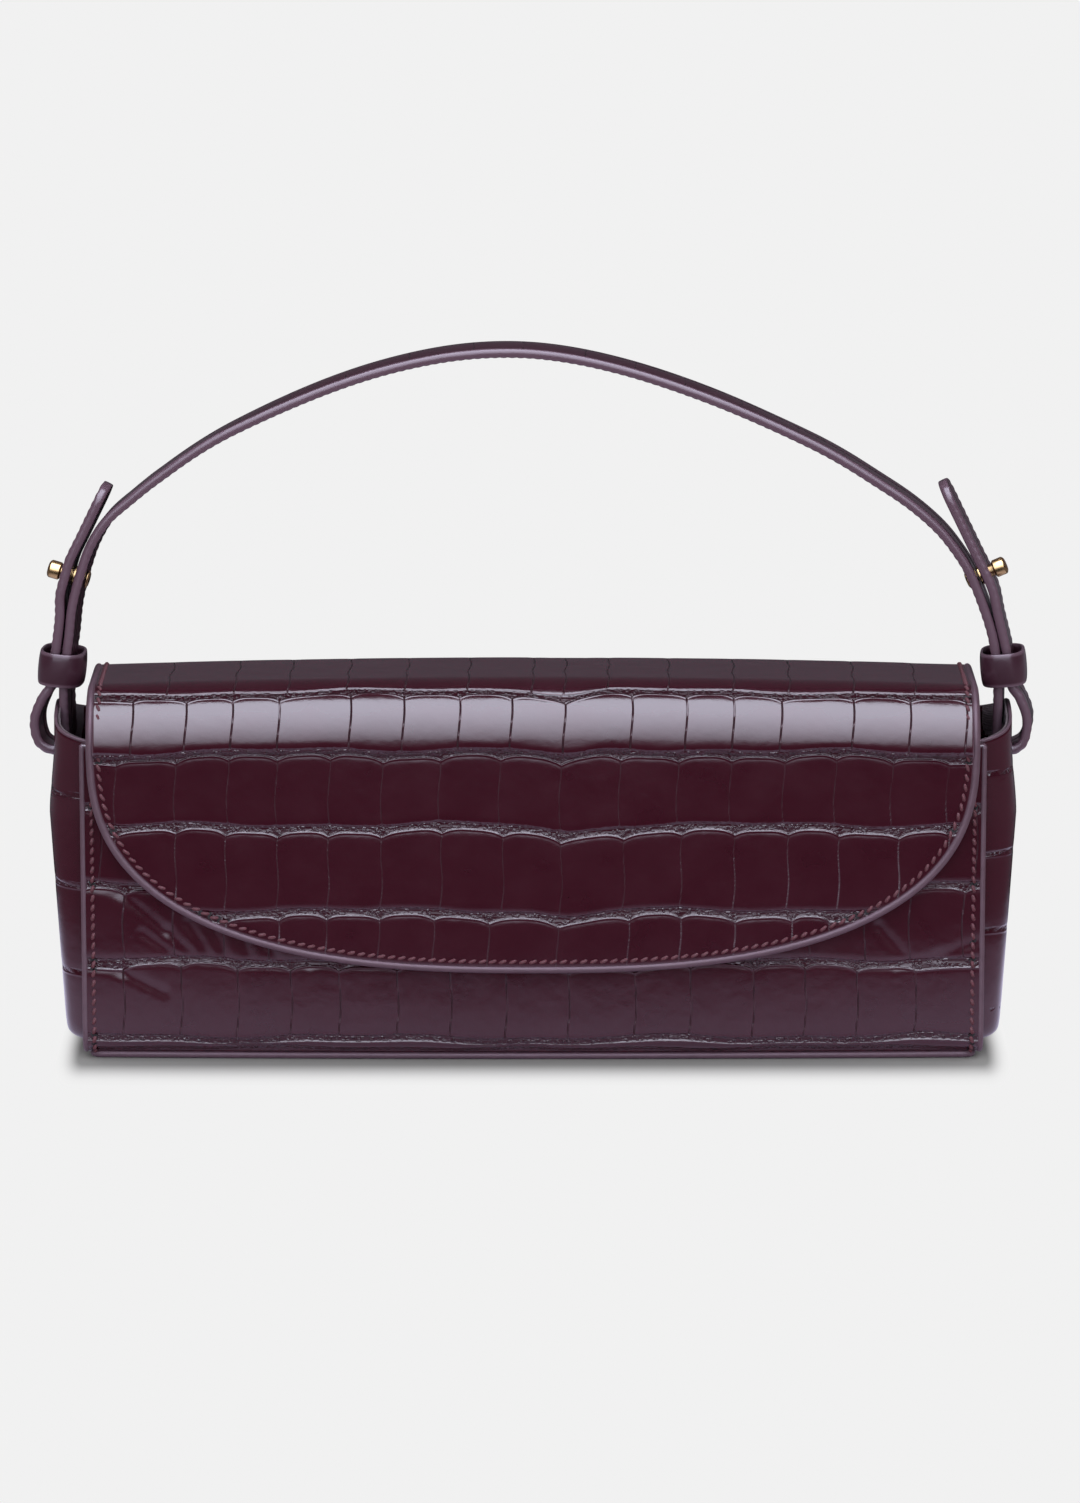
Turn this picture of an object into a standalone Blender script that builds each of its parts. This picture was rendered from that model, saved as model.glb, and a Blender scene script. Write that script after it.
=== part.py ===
"""Top handle bag: a small flap bag on a belted strap.

Metres, +Z up, the front faces -Y. The origin is under the middle of the base,
on the surface that the bag stands on. The left side is the viewer's, at -X.
"""
import math

import bmesh
import bpy
from mathutils import Matrix, Vector

for old in list(bpy.data.objects):
    bpy.data.objects.remove(old, do_unlink=True)

# Body, seen from the side
HALF_WIDTH = 0.1292          # middle to the painted edge of a side seam
FRONT_REACH = 0.0270         # middle to the outer face of the front panel
BACK_REACH = 0.0275          # middle to the outer face of the back panel
FRONT_TOP = 0.0926           # top edge of the front panel
BASE_RADIUS = 0.0150         # turn of the front and back leather under the bag
TURN_IN = 0.0050             # how far that leather runs on over the base
BASE_LIP = 0.0026            # the base's painted edge stands inside the belly by this
BELLY_BOW = 0.0025           # the base bows out by this at mid width
TOP_CROWN = 0.0022           # the top is this much higher at mid width
CROWN_START = 0.0550         # height at which the crown begins

# Sheets of one panel, from the outside in
LEATHER = 0.0013
GAP = 0.0003
BOARD = 0.0008
LINING = 0.0006

# Flap, measured along the outer face of its leather
FLAP_TOP = 0.1078            # height of the flap's outer face
FLAP_CLEARANCE = 0.0010      # air between the flap's lining and the front panel
FLAP_TO_STRAP = 0.0069       # the flap's side edge to the middle of the inner leg
SHOULDER_RADIUS = 0.0155     # outer face, front and back
FLAP_DROP = 0.0656           # from the widest line to the tip
FLAP_WIDE_Z = 0.0924         # height of the widest line
OUTLINE_POWER = 2.6          # superellipse power of the flap's outline
FLAP_BOARD_INSET = 0.0070    # the board stops short of the stitch line
SPLIT_GAP = 0.0003           # between the flap's rigid stretches
HINGE_CLEARANCE = 0.0002     # fold lines lie this far outside the leather

# Gussets
SEAM_WIDTH = 0.0051          # flange that is stitched behind a panel's margin
SEAM_EDGE_STEP = 0.0002      # the flange stops this far inside the panel's edge
GUSSET_LEATHER = 0.0010
GUSSET_GAP = 0.0003
GUSSET_LINING = 0.0004
GUSSET_BULGE = 0.0151        # at mid height, beyond the seam root
GUSSET_LEAN = 0.0016         # the bulge draws in by this above the slot
GUSSET_TAPER = 0.0045        # the bulge draws in by this towards the floor
GUSSET_LEAN_START = 0.0700
GUSSET_LEAN_END = 0.0880
BULGE_POWER = 5.0
SPINE_FOOT = 0.0180          # lowest point of the fullest line
PEAK_RISE = 0.0094           # middle of the mouth above its corners
PEAK_HALF_WIDTH = 0.0160
PEAK_START = 0.0700          # the wall is drawn up from this height
LINING_STOP_SHARE = 0.965    # the gusset's lining stops before the seam

# Strap
STRAP_WIDTH = 0.0140
STRAP_THICKNESS = 0.0027
STRAP_FACE = 0.00085         # each of its two leathers
STRAP_CORE_WIDTH = 0.0112
STRAP_YAW = math.radians(6.0)
LEG_GAP = 0.0004             # between the two legs in a keeper
LEG_TO_GUSSET = 0.0049       # middle of the inner leg to the gusset's fullest line
PIVOT_Z = 0.0868             # the strap turns in its slots about this height
LOOP_WIDTH = 0.0085          # centre to centre of the legs at the loop
ARCH_HEIGHT = 0.1175         # top of the strap's centre line above the slots
SWING = math.radians(30.0)   # each way
SLOT_MARGIN = 0.0009

# Studs and keepers
STUD_Z = 0.1361              # where the stud crosses the inner leg
TIP_LENGTH = 0.0237          # free end beyond the stud
TIP_LEAN = math.radians(26.0)
STUD_FLANGE_RADIUS = 0.0038
STUD_FLANGE = 0.0007
STUD_NECK_RADIUS = 0.0018
STUD_NECK_SHOWS = 0.0008     # neck between the outer leg and the head
STUD_HEAD_RADIUS = 0.0026
STUD_HEAD = 0.0038
STUD_EDGE = 0.0006           # rounding of the head
STUD_BORE_RADIUS = 0.0011
STUD_BORE_DEPTH = 0.0050
STUD_HOLE_RADIUS = 0.0022
SCREW_HEAD_RADIUS = 0.0032
SCREW_HEAD = 0.0007
SCREW_RADIUS = 0.0008
KEEPER_HEIGHT = 0.0097
KEEPER_WALL = 0.0015
KEEPER_Z = 0.1102            # middle of the keeper at rest
KEEPER_INNER_X = 0.0100
KEEPER_INNER_Y = 0.0152
KEEPER_CORNER = 0.0018
KEEPER_OVAL_POWER = 2.8      # superellipse power of its outer face
LEGS_TOGETHER = 0.0100       # over the keeper

# Hidden magnets
MAGNET_RADIUS = 0.0065
MAGNET_Z = 0.0430
MAGNET_SEAT = 0.0003         # board round a magnet
OVERRUN = 0.0100             # all cutters pass their work by this


def shade(name, hex_colour, roughness, metallic):
    """A Principled material from an sRGB hex colour."""
    material = bpy.data.materials.new(name)
    material.use_nodes = True
    shader = material.node_tree.nodes["Principled BSDF"]
    channels = [int(hex_colour[i:i + 2], 16) / 255 for i in (0, 2, 4)]
    linear = [((c + 0.055) / 1.055) ** 2.4 if c > 0.04045 else c / 12.92 for c in channels]
    shader.inputs["Base Color"].default_value = (*linear, 1.0)
    shader.inputs["Roughness"].default_value = roughness
    shader.inputs["Metallic"].default_value = metallic
    return material


EMBOSSED = shade("embossed_leather", "3d1c27", 0.32, 0.0)
STRAP_LEATHER = shade("strap_leather", "4a2a38", 0.38, 0.0)
LINING_CLOTH = shade("lining_cloth", "5a4650", 0.75, 0.0)
STIFFENER = shade("stiffener_board", "8a7a68", 0.85, 0.0)
MAGNET_STEEL = shade("magnet_steel", "9a9a9e", 0.35, 1.0)
BRASS = shade("brushed_brass", "b98f4e", 0.30, 1.0)


AXIS_PLACES = {}


def axis_empty(name, place, parent=None):
    """An empty on a joint's axis, which carries the pieces that move with it."""
    empty = bpy.data.objects.new(name, None)
    empty.location = place
    AXIS_PLACES[name] = Vector(place)
    if parent is not None:
        empty.parent = parent
        empty.location -= AXIS_PLACES[parent.name]
    bpy.context.scene.collection.objects.link(empty)
    return empty


def finish(name, bm, material, parent=None):
    """Turn a bmesh into a named object, carried by its joint's empty if it moves."""
    bmesh.ops.recalc_face_normals(bm, faces=bm.faces)
    mesh = bpy.data.meshes.new(name)
    bm.to_mesh(mesh)
    bm.free()
    mesh.materials.append(material)
    item = bpy.data.objects.new(name, mesh)
    bpy.context.scene.collection.objects.link(item)
    if parent is not None:
        mesh.transform(Matrix.Translation(-AXIS_PLACES[parent.name]))
        item.parent = parent
    return item


def sheet(name, near, far, material, parent=None):
    """A closed sheet between two grids of points, rows of equal length."""
    bm = bmesh.new()
    skins = [[[bm.verts.new(p) for p in row] for row in grid] for grid in (near, far)]
    rows, columns = len(near), len(near[0])
    for skin in skins:
        for i in range(rows - 1):
            for j in range(columns - 1):
                bm.faces.new((skin[i][j], skin[i][j + 1], skin[i + 1][j + 1], skin[i + 1][j]))
    rim = [(0, j) for j in range(columns)]
    rim += [(i, columns - 1) for i in range(1, rows)]
    rim += [(rows - 1, j) for j in range(columns - 2, -1, -1)]
    rim += [(i, 0) for i in range(rows - 2, 0, -1)]
    for (i, j), (k, m) in zip(rim, rim[1:] + rim[:1]):
        bm.faces.new((skins[0][i][j], skins[0][k][m], skins[1][k][m], skins[1][i][j]))
    return finish(name, bm, material, parent)


def cut(item, bm):
    """Cut an object with a closed bmesh, which is kept as a hidden wire guide."""
    cutter = finish(item.name + "_cutter", bm, item.data.materials[0], item.parent)
    cutter.hide_render = True
    cutter.display_type = "WIRE"
    modifier = item.modifiers.new("opening", "BOOLEAN")
    modifier.object = cutter
    modifier.operation = "DIFFERENCE"


def arc(centre, radius, start, end, steps):
    """Points (y, z) on an arc; angles in radians, from +y towards +z."""
    angles = [start + (end - start) * i / steps for i in range(steps + 1)]
    return [(centre[0] + radius * math.cos(a), centre[1] + radius * math.sin(a)) for a in angles]


def span(start, end, steps):
    """Evenly spaced values, both ends included."""
    return [start + (end - start) * i / steps for i in range(steps + 1)]


BACK_FOLD = FLAP_TOP - SHOULDER_RADIUS   # where the back leather starts to fold with the flap


def soften(x, y, z):
    """Bow the belly out at the base and crown the top, most at mid width."""
    middle = 1 - (x / HALF_WIDTH) ** 2
    low = max(0.0, 1 - z / BACK_FOLD)
    high = min(1.0, max(0.0, (z - CROWN_START) / (FLAP_TOP - CROWN_START)))
    rise = TOP_CROWN * high * high * (3 - 2 * high)
    half_depth = FRONT_REACH if y < 0 else BACK_REACH
    return Vector((x, y * (1 + BELLY_BOW * low * middle / half_depth), z + rise * middle))


def lay(path, stations):
    """A grid: the (y, z) path repeated at each x station, softened."""
    return [[soften(x, y, z) for y, z in path] for x in stations]


STATION_STEPS = 8
ARC_STEPS = 4
MAGNET_SIDES = 20


def wall_path(depth, side, top, turn_in):
    """Side view of a front (-1) or back (1) sheet, this deep under the outer face."""
    reach = (FRONT_REACH if side < 0 else BACK_REACH) - depth
    radius = BASE_RADIUS - depth
    base_top = LEATHER + GAP + depth
    centre_y = reach - radius
    upright = [(reach, z) for z in span(top, base_top + radius, 4)]
    turn = arc((centre_y, base_top + radius), radius, 0, -math.pi / 2, ARC_STEPS)[1:]
    foot = [(centre_y - turn_in, base_top)]
    return [(side * y, z) for y, z in upright + turn + foot]


def wall(name, depth, thickness, side, top, half_width, turn_in, material):
    """A front or back sheet, turned in over the base."""
    stations = span(-half_width, half_width, STATION_STEPS)
    near = lay(wall_path(depth, side, top, turn_in), stations)
    far = lay(wall_path(depth + thickness, side, top, turn_in), stations)
    return sheet(name, near, far, material)


BOARD_DEPTH = LEATHER + GAP
LINING_DEPTH = BOARD_DEPTH + BOARD + GAP
SEAM_ROOT = HALF_WIDTH - SEAM_WIDTH
LEG_X = SEAM_ROOT + GUSSET_BULGE - LEG_TO_GUSSET
FLAP_HALF_WIDTH = LEG_X - FLAP_TO_STRAP
INNER_HALF_WIDTH = SEAM_ROOT - GUSSET_GAP - GUSSET_LINING - GAP


def magnet_disc(near_y, far_y, radius):
    """A round disc across Y at the magnets' height, softened like the sheets round it."""
    bm = bmesh.new()
    ends = []
    for y in (near_y, far_y):
        turns = [2 * math.pi * i / MAGNET_SIDES for i in range(MAGNET_SIDES)]
        ring = [soften(radius * math.cos(a), y, MAGNET_Z + radius * math.sin(a)) for a in turns]
        ends.append([bm.verts.new(p) for p in ring])
    bm.faces.new(ends[0])
    bm.faces.new(ends[1][::-1])
    for i in range(MAGNET_SIDES):
        k = (i + 1) % MAGNET_SIDES
        bm.faces.new((ends[0][i], ends[0][k], ends[1][k], ends[1][i]))
    return bm


def seat_magnet(name, board, outer_y, parent=None):
    """A magnet in a hole of its board; outer_y is the board's outer face."""
    inner_y = outer_y + BOARD
    cut(board, magnet_disc(outer_y - OVERRUN, inner_y + OVERRUN, MAGNET_RADIUS + MAGNET_SEAT))
    return finish(name, magnet_disc(outer_y, inner_y, MAGNET_RADIUS), MAGNET_STEEL, parent)


# Front, back and base walls
wall("front_panel", 0, LEATHER, -1, FRONT_TOP, HALF_WIDTH, TURN_IN, EMBOSSED)
front_board = wall("front_board", BOARD_DEPTH, BOARD, -1, FRONT_TOP, INNER_HALF_WIDTH, 0, STIFFENER)
seat_magnet("front_magnet", front_board, BOARD_DEPTH - FRONT_REACH)
wall("front_lining", LINING_DEPTH, LINING, -1, FRONT_TOP, INNER_HALF_WIDTH, 0, LINING_CLOTH)
wall("back_panel", 0, LEATHER, 1, BACK_FOLD, HALF_WIDTH, TURN_IN, EMBOSSED)
wall("back_board", BOARD_DEPTH, BOARD, 1, BACK_FOLD, INNER_HALF_WIDTH, 0, STIFFENER)
wall("back_lining", LINING_DEPTH, LINING, 1, BACK_FOLD, INNER_HALF_WIDTH, 0, LINING_CLOTH)


def floor_sheet(name, bottom, thickness, front, back, half_width, material):
    """A flat sheet of the base, bowed in plan like the walls that stand on it."""
    stations = span(-half_width, half_width, STATION_STEPS)
    depths = span(-front, back, 2)
    near = lay([(y, bottom) for y in depths], stations)
    far = lay([(y, bottom + thickness) for y in depths], stations)
    return sheet(name, near, far, material)


base_front = FRONT_REACH - BASE_LIP
base_back = BACK_REACH - BASE_LIP
floor_sheet("base_panel", 0, LEATHER, base_front, base_back, HALF_WIDTH, EMBOSSED)
board_clear = BASE_RADIUS + GAP
floor_sheet("base_board", LEATHER + GAP + BOARD_DEPTH, BOARD, FRONT_REACH - board_clear,
            BACK_REACH - board_clear, INNER_HALF_WIDTH, STIFFENER)
floor_sheet("base_lining", LEATHER + GAP + LINING_DEPTH, LINING, FRONT_REACH - board_clear,
            BACK_REACH - board_clear, INNER_HALF_WIDTH, LINING_CLOTH)


def gusset_outline(count):
    """Points (y, z, height share) from the mouth's front corner round the base to its back one."""
    front = wall_path(LEATHER + GAP, -1, FRONT_TOP, 0)[:-1]
    back = wall_path(LEATHER + GAP, 1, BACK_FOLD, 0)[:-1]
    lowest = front[-1][1]
    shares = [(z - lowest) / (FRONT_TOP - lowest) for y, z in front]
    between = [(y, lowest, 0.0) for y in span(front[-1][0], back[-1][0], count)]
    ends = [[(y, z, share) for (y, z), share in zip(path, shares)] for path in (front, back)]
    return ends[0] + between[1:-1] + ends[1][::-1]


def bump(share):
    """A smooth hill from 0 at the ends to 1 in the middle."""
    return math.cos(min(1.0, abs(share)) * math.pi / 2) ** 2


def ramp(value, start, end):
    """0 before the start, 1 after the end, smooth between."""
    share = min(1.0, max(0.0, (value - start) / (end - start)))
    return share * share * (3 - 2 * share)


GUSSET_RINGS = 6


def gusset_surface(side, reach_share):
    """The flesh side of a gusset as an open bmesh: rings from its seam to its fullest line."""
    outline = gusset_outline(4)
    bm = bmesh.new()
    rings = []
    shares = [1 - (1 - i / GUSSET_RINGS) ** 1.5 for i in range(GUSSET_RINGS + 1)]
    for share in shares:
        full = min(share, reach_share)
        ring = []
        for y, z, height_share in outline:
            spine_z = SPINE_FOOT + (FRONT_TOP - SPINE_FOOT) * height_share
            flat_y = full * y
            flat_z = spine_z + full * (z - spine_z)
            rise = PEAK_RISE * bump(flat_y / PEAK_HALF_WIDTH) * ramp(flat_z, PEAK_START, FRONT_TOP)
            bulge = GUSSET_BULGE - GUSSET_LEAN * ramp(flat_z, GUSSET_LEAN_START, GUSSET_LEAN_END)
            bulge -= GUSSET_TAPER * max(0.0, 1 - flat_z / GUSSET_LEAN_START)
            out = SEAM_ROOT + bulge * (1 - full ** BULGE_POWER)
            ring.append(bm.verts.new((side * out, flat_y, flat_z + rise)))
        rings.append(ring)
    if reach_share == 1:
        edge = HALF_WIDTH - SEAM_EDGE_STEP
        rings.append([bm.verts.new((side * edge, v.co.y, v.co.z)) for v in rings[-1]])
    for inner, outer in zip(rings, rings[1:]):
        for j in range(len(inner) - 1):
            quad = (inner[j], inner[j + 1], outer[j + 1], outer[j])
            bm.faces.new(quad if side < 0 else quad[::-1])
    bmesh.ops.remove_doubles(bm, verts=bm.verts, dist=GAP / 10)
    bm.normal_update()
    return bm


def thicken(name, surface, near, far, material):
    """A closed sheet between two distances from an open surface, along its normals."""
    surface.verts.ensure_lookup_table()
    moves = [v.normal * v.calc_shell_factor() for v in surface.verts]
    places = [v.co.copy() for v in surface.verts]
    bm = bmesh.new()
    skins = [[bm.verts.new(p + m * d) for p, m in zip(places, moves)] for d in (near, far)]
    for face in surface.faces:
        ids = [v.index for v in face.verts]
        bm.faces.new([skins[0][i] for i in ids])
        bm.faces.new([skins[1][i] for i in reversed(ids)])
    for edge in surface.edges:
        if len(edge.link_faces) == 1:
            a, b = (v.index for v in edge.verts)
            bm.faces.new((skins[0][a], skins[0][b], skins[1][b], skins[1][a]))
    surface.free()
    return finish(name, bm, material)


def slot_cutter(side):
    """The slot that lets the strap swing: a round hole pinched above and below its middle."""
    clear = STRAP_THICKNESS / 2 + 2 * SLOT_MARGIN
    radius = math.hypot(STRAP_WIDTH / 2, clear) + SLOT_MARGIN
    corner = SWING + math.atan2(clear, STRAP_WIDTH / 2)
    lobe = [(radius * math.cos(a), radius * math.sin(a)) for a in span(-corner, corner, 6)]
    pinch = (0, (clear + SLOT_MARGIN) / math.cos(SWING))
    outline = lobe + [pinch] + [(-y, -z) for y, z in lobe] + [(-pinch[0], -pinch[1])]
    bm = bmesh.new()
    inside = side * (SEAM_ROOT + GUSSET_BULGE / 2)
    verts = [bm.verts.new((inside, y, PIVOT_Z + z)) for y, z in outline]
    face = bm.faces.new(verts)
    moved = bmesh.ops.extrude_face_region(bm, geom=[face])["geom"]
    tips = [v for v in moved if isinstance(v, bmesh.types.BMVert)]
    bmesh.ops.translate(bm, vec=(side * (GUSSET_BULGE / 2 + OVERRUN), 0, 0), verts=tips)
    return bm


for side, word in ((-1, "left"), (1, "right")):
    leather = thicken(word + "_gusset", gusset_surface(side, 1), 0, GUSSET_LEATHER, EMBOSSED)
    cut(leather, slot_cutter(side))
    lining = thicken(word + "_gusset_lining", gusset_surface(side, LINING_STOP_SHARE),
                     -GUSSET_GAP - GUSSET_LINING, -GUSSET_GAP, LINING_CLOTH)
    cut(lining, slot_cutter(side))


FLAP_DEPTH = LEATHER + GAP + BOARD + GAP + LINING
FLAP_REACH = FRONT_REACH + FLAP_CLEARANCE + FLAP_DEPTH
QUARTER = SHOULDER_RADIUS * math.pi / 2
TOP_RUN = BACK_REACH + FLAP_REACH - 2 * SHOULDER_RADIUS
FRONT_START = 2 * QUARTER + TOP_RUN
SPLIT = FRONT_START - QUARTER / 2
WIDE_LINE = FRONT_START - SHOULDER_RADIUS * math.asin((FLAP_WIDE_Z - BACK_FOLD) / SHOULDER_RADIUS)


def flap_point(run, depth):
    """(y, z) at a distance along the flap's outer face from the back fold, this deep under it."""
    radius = SHOULDER_RADIUS - depth
    back_y = BACK_REACH - SHOULDER_RADIUS
    front_y = SHOULDER_RADIUS - FLAP_REACH
    if run < QUARTER:
        angle = run / SHOULDER_RADIUS
        return back_y + radius * math.cos(angle), BACK_FOLD + radius * math.sin(angle)
    if run < QUARTER + TOP_RUN:
        return back_y - (run - QUARTER), BACK_FOLD + radius
    if run < FRONT_START:
        angle = (run - QUARTER - TOP_RUN) / SHOULDER_RADIUS
        return front_y - radius * math.sin(angle), BACK_FOLD + radius * math.cos(angle)
    return front_y - radius, BACK_FOLD - (run - FRONT_START)


def flap_sheet(name, depth, thickness, rows, material, parent):
    """One layer of the flap; each row holds (x, run) pairs."""
    grids = []
    for level in (depth, depth + thickness):
        grids.append([[soften(x, *flap_point(run, level)) for x, run in row] for row in rows])
    return sheet(name, grids[0], grids[1], material, parent)


def top_rows(runs, half_width):
    """Rows across the top stretch of the flap at these distances from the back fold."""
    return [[(x, run) for x in span(-half_width, half_width, STATION_STEPS)] for run in runs]


FRONT_COLUMNS = 16
TURN_ROWS = 3
DROP_ROWS = 5
TURN_SHARE = 0.9             # of a column that ends inside the shoulder


def front_rows(start, inset):
    """Rows down the front stretch, which ends on a superellipse drawn in by the inset."""
    half_width = FLAP_HALF_WIDTH - inset
    drop = FLAP_DROP - inset
    turns = span(-math.pi / 2, math.pi / 2, FRONT_COLUMNS)
    columns = []
    for turn in turns:
        across = math.sin(turn)
        fall = max(0.0, 1 - abs(across) ** OUTLINE_POWER) ** (1 / OUTLINE_POWER)
        end = max(WIDE_LINE + drop * fall, start + inset / 2)
        runs = span(start, end, DROP_ROWS)
        if start < FRONT_START:
            turn_end = min(FRONT_START, start + TURN_SHARE * (end - start))
            runs = span(start, turn_end, TURN_ROWS) + span(turn_end, end, DROP_ROWS)[1:]
        columns.append([(half_width * across, run) for run in runs])
    return [list(row) for row in zip(*columns)]


lift_axis = axis_empty("flap_lift_axis", (0, BACK_REACH + HINGE_CLEARANCE, BACK_FOLD))
fold_y, fold_z = flap_point(SPLIT, -HINGE_CLEARANCE)
fold_axis = axis_empty("flap_fold_axis", soften(0, fold_y, fold_z), lift_axis)

top_flat = span(QUARTER, QUARTER + TOP_RUN, 2)
back_turn = span(SPLIT_GAP, QUARTER, ARC_STEPS)
front_turn = span(QUARTER + TOP_RUN, SPLIT - SPLIT_GAP / 2, ARC_STEPS // 2)
full = top_rows(back_turn + top_flat[1:] + front_turn[1:], FLAP_HALF_WIDTH)
inset = top_rows(top_flat, FLAP_HALF_WIDTH - FLAP_BOARD_INSET)
front_full = front_rows(SPLIT + SPLIT_GAP / 2, 0)
flap_sheet("flap_top_leather", 0, LEATHER, full, EMBOSSED, lift_axis)
flap_sheet("flap_top_board", BOARD_DEPTH, BOARD, inset, STIFFENER, lift_axis)
flap_sheet("flap_top_lining", LINING_DEPTH, LINING, full, LINING_CLOTH, lift_axis)
flap_sheet("flap_front_leather", 0, LEATHER, front_full, EMBOSSED, fold_axis)
flap_board = flap_sheet("flap_front_board", BOARD_DEPTH, BOARD,
                        front_rows(FRONT_START, FLAP_BOARD_INSET), STIFFENER, fold_axis)
seat_magnet("flap_magnet", flap_board, BOARD_DEPTH - FLAP_REACH, fold_axis)
flap_sheet("flap_front_lining", LINING_DEPTH, LINING, front_full, LINING_CLOTH, fold_axis)


# Strap, drawn in the plane y = 0: x in shares of LEG_X, height over the slots of ARCH_HEIGHT
LEFT_LEG_SHARES = ((-1.0, 0.064), (-1.001, 0.137), (-0.998, 0.205), (-0.989, 0.275))
ARCH_SHARES = ((-0.9795, 0.3615), (-0.9547, 0.464), (-0.9340, 0.520), (-0.9030, 0.572),
               (-0.8544, 0.621), (-0.7994, 0.671), (-0.641, 0.797), (-0.425, 0.917),
               (-0.210, 0.985), (-0.022, 1.0), (0.165, 0.967), (0.380, 0.886), (0.594, 0.764),
               (0.756, 0.649), (0.816, 0.601), (0.871, 0.545), (0.909, 0.491), (0.938, 0.437),
               (0.969, 0.350))
PATH_STEPS = 2


def strap_point(share_x, share_z):
    """A point of the strap's centre line from its shares."""
    return Vector((share_x * LEG_X, 0, PIVOT_Z + share_z * ARCH_HEIGHT))


def smooth_path(points, steps):
    """A smooth curve through the points: cubic stretches with matching slopes."""
    marks = [0.0]
    for a, b in zip(points, points[1:]):
        marks.append(marks[-1] + (b - a).length)
    last = len(points) - 1
    slopes = []
    for i in range(last + 1):
        low, high = max(0, i - 1), min(last, i + 1)
        slopes.append((points[high] - points[low]) / (marks[high] - marks[low]))
    result = [points[0]]
    for i in range(last):
        length = marks[i + 1] - marks[i]
        for k in range(1, steps + 1):
            s = k / steps
            start = (1 + 2 * s) * (1 - s) ** 2 * points[i] + s * s * (3 - 2 * s) * points[i + 1]
            bend = s * (1 - s) * ((1 - s) * slopes[i] - s * slopes[i + 1]) * length
            result.append(start + bend)
    return result


def mirrored(points):
    """The same points on the other side, in reverse order."""
    return [Vector((-p.x, p.y, p.z)) for p in reversed(points)]


legs = [strap_point(*pair) for pair in LEFT_LEG_SHARES]
arch = [strap_point(*pair) for pair in ARCH_SHARES]
inner_run = legs + arch + mirrored(legs)
inner_path = smooth_path(inner_run, PATH_STEPS)


def at_height(path, z, side):
    """Point and upward direction where a path crosses a height on one side."""
    for i in range(1, len(path) - 2):
        a, b = path[i], path[i + 1]
        if a.x * side > 0 and min(a.z, b.z) <= z <= max(a.z, b.z):
            share = (z - a.z) / (b.z - a.z)
            way = (b - path[i - 1]).lerp(path[i + 2] - a, share).normalized()
            return a.lerp(b, share), way if way.z > 0 else -way
    return None


LEG_STACK = STRAP_THICKNESS + LEG_GAP
STUD_STACK = STRAP_THICKNESS + 2 * GAP + STUD_FLANGE
KEEPER_TOP = KEEPER_Z + KEEPER_HEIGHT / 2
KEEPER_FOOT = KEEPER_Z - KEEPER_HEIGHT / 2


def beside(z, side, distance):
    """A point outside the inner leg, square to it."""
    place, way = at_height(inner_path, z, side)
    return place + Vector((side * way.z, 0, -side * way.x)) * distance


def outer_leg(side):
    """Centre line from the free tip down the outer leg and round the loop to the inner leg."""
    grips = [beside(STUD_Z + STUD_FLANGE_RADIUS * up, side, STUD_STACK) for up in (1.3, 0, -1.3)]
    tip_way = Vector((-side * math.sin(TIP_LEAN), 0, math.cos(TIP_LEAN)))
    points = [grips[0] + tip_way * TIP_LENGTH * share for share in TIP_SHARES] + grips
    points += [beside(KEEPER_TOP + LEGS_TOGETHER, side, LEG_STACK), beside(KEEPER_TOP, side, LEG_STACK)]
    foot_z = KEEPER_FOOT - PIVOT_Z
    for across, up in LOOP_SHARES:
        points.append(Vector((side * (LEG_X + LOOP_WIDTH * across), 0, PIVOT_Z + foot_z * up)))
    return points


TIP_SHARES = (1.0, 0.66, 0.33)
LOOP_SHARES = ((0.47, 1.0), (0.74, 0.81), (1.0, 0.47), (0.86, 0.12), (0.4, 0.0), (0.02, 0.16))
left_outer = outer_leg(-1)
right_outer = outer_leg(1)
strap_path = smooth_path(left_outer + inner_run + right_outer[::-1], PATH_STEPS)


def frames(path):
    """Place, width direction and face direction at each point of the path."""
    result = []
    for i, place in enumerate(path):
        way = (path[min(i + 1, len(path) - 1)] - path[max(i - 1, 0)]).normalized()
        across = Vector((math.sin(STRAP_YAW) * abs(way.z), math.cos(STRAP_YAW), 0))
        face = way.cross(across).normalized()
        result.append((place, face.cross(way).normalized(), face))
    return result


def strap_layer(name, low, high, width, material, parent):
    """One layer of the strap, with rounded tips."""
    runs = [0.0]
    for a, b in zip(strap_path, strap_path[1:]):
        runs.append(runs[-1] + (b - a).length)
    near, far = [], []
    for (place, across, face), run in zip(frames(strap_path), runs):
        tip = min(run, runs[-1] - run) / TIP_ROUND
        half = width / 2 * math.sqrt(max(TIP_BLUNT_SHARE, 1 - (1 - min(1.0, tip)) ** 2))
        near.append([place + face * low - across * half, place + face * low + across * half])
        far.append([place + face * high - across * half, place + face * high + across * half])
    return sheet(name, near, far, material, parent)


TIP_ROUND = 0.0060
TIP_BLUNT_SHARE = 0.12
swing_axis = axis_empty("handle_swing_axis", (0, 0, PIVOT_Z))
half = STRAP_THICKNESS / 2
core_half = half - STRAP_FACE - GAP
strap_layers = [
    strap_layer("handle_outer_leather", half - STRAP_FACE, half, STRAP_WIDTH, STRAP_LEATHER, swing_axis),
    strap_layer("handle_core", -core_half, core_half, STRAP_CORE_WIDTH, STIFFENER, swing_axis),
    strap_layer("handle_inner_leather", -half, STRAP_FACE - half, STRAP_WIDTH, STRAP_LEATHER, swing_axis),
]


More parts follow.
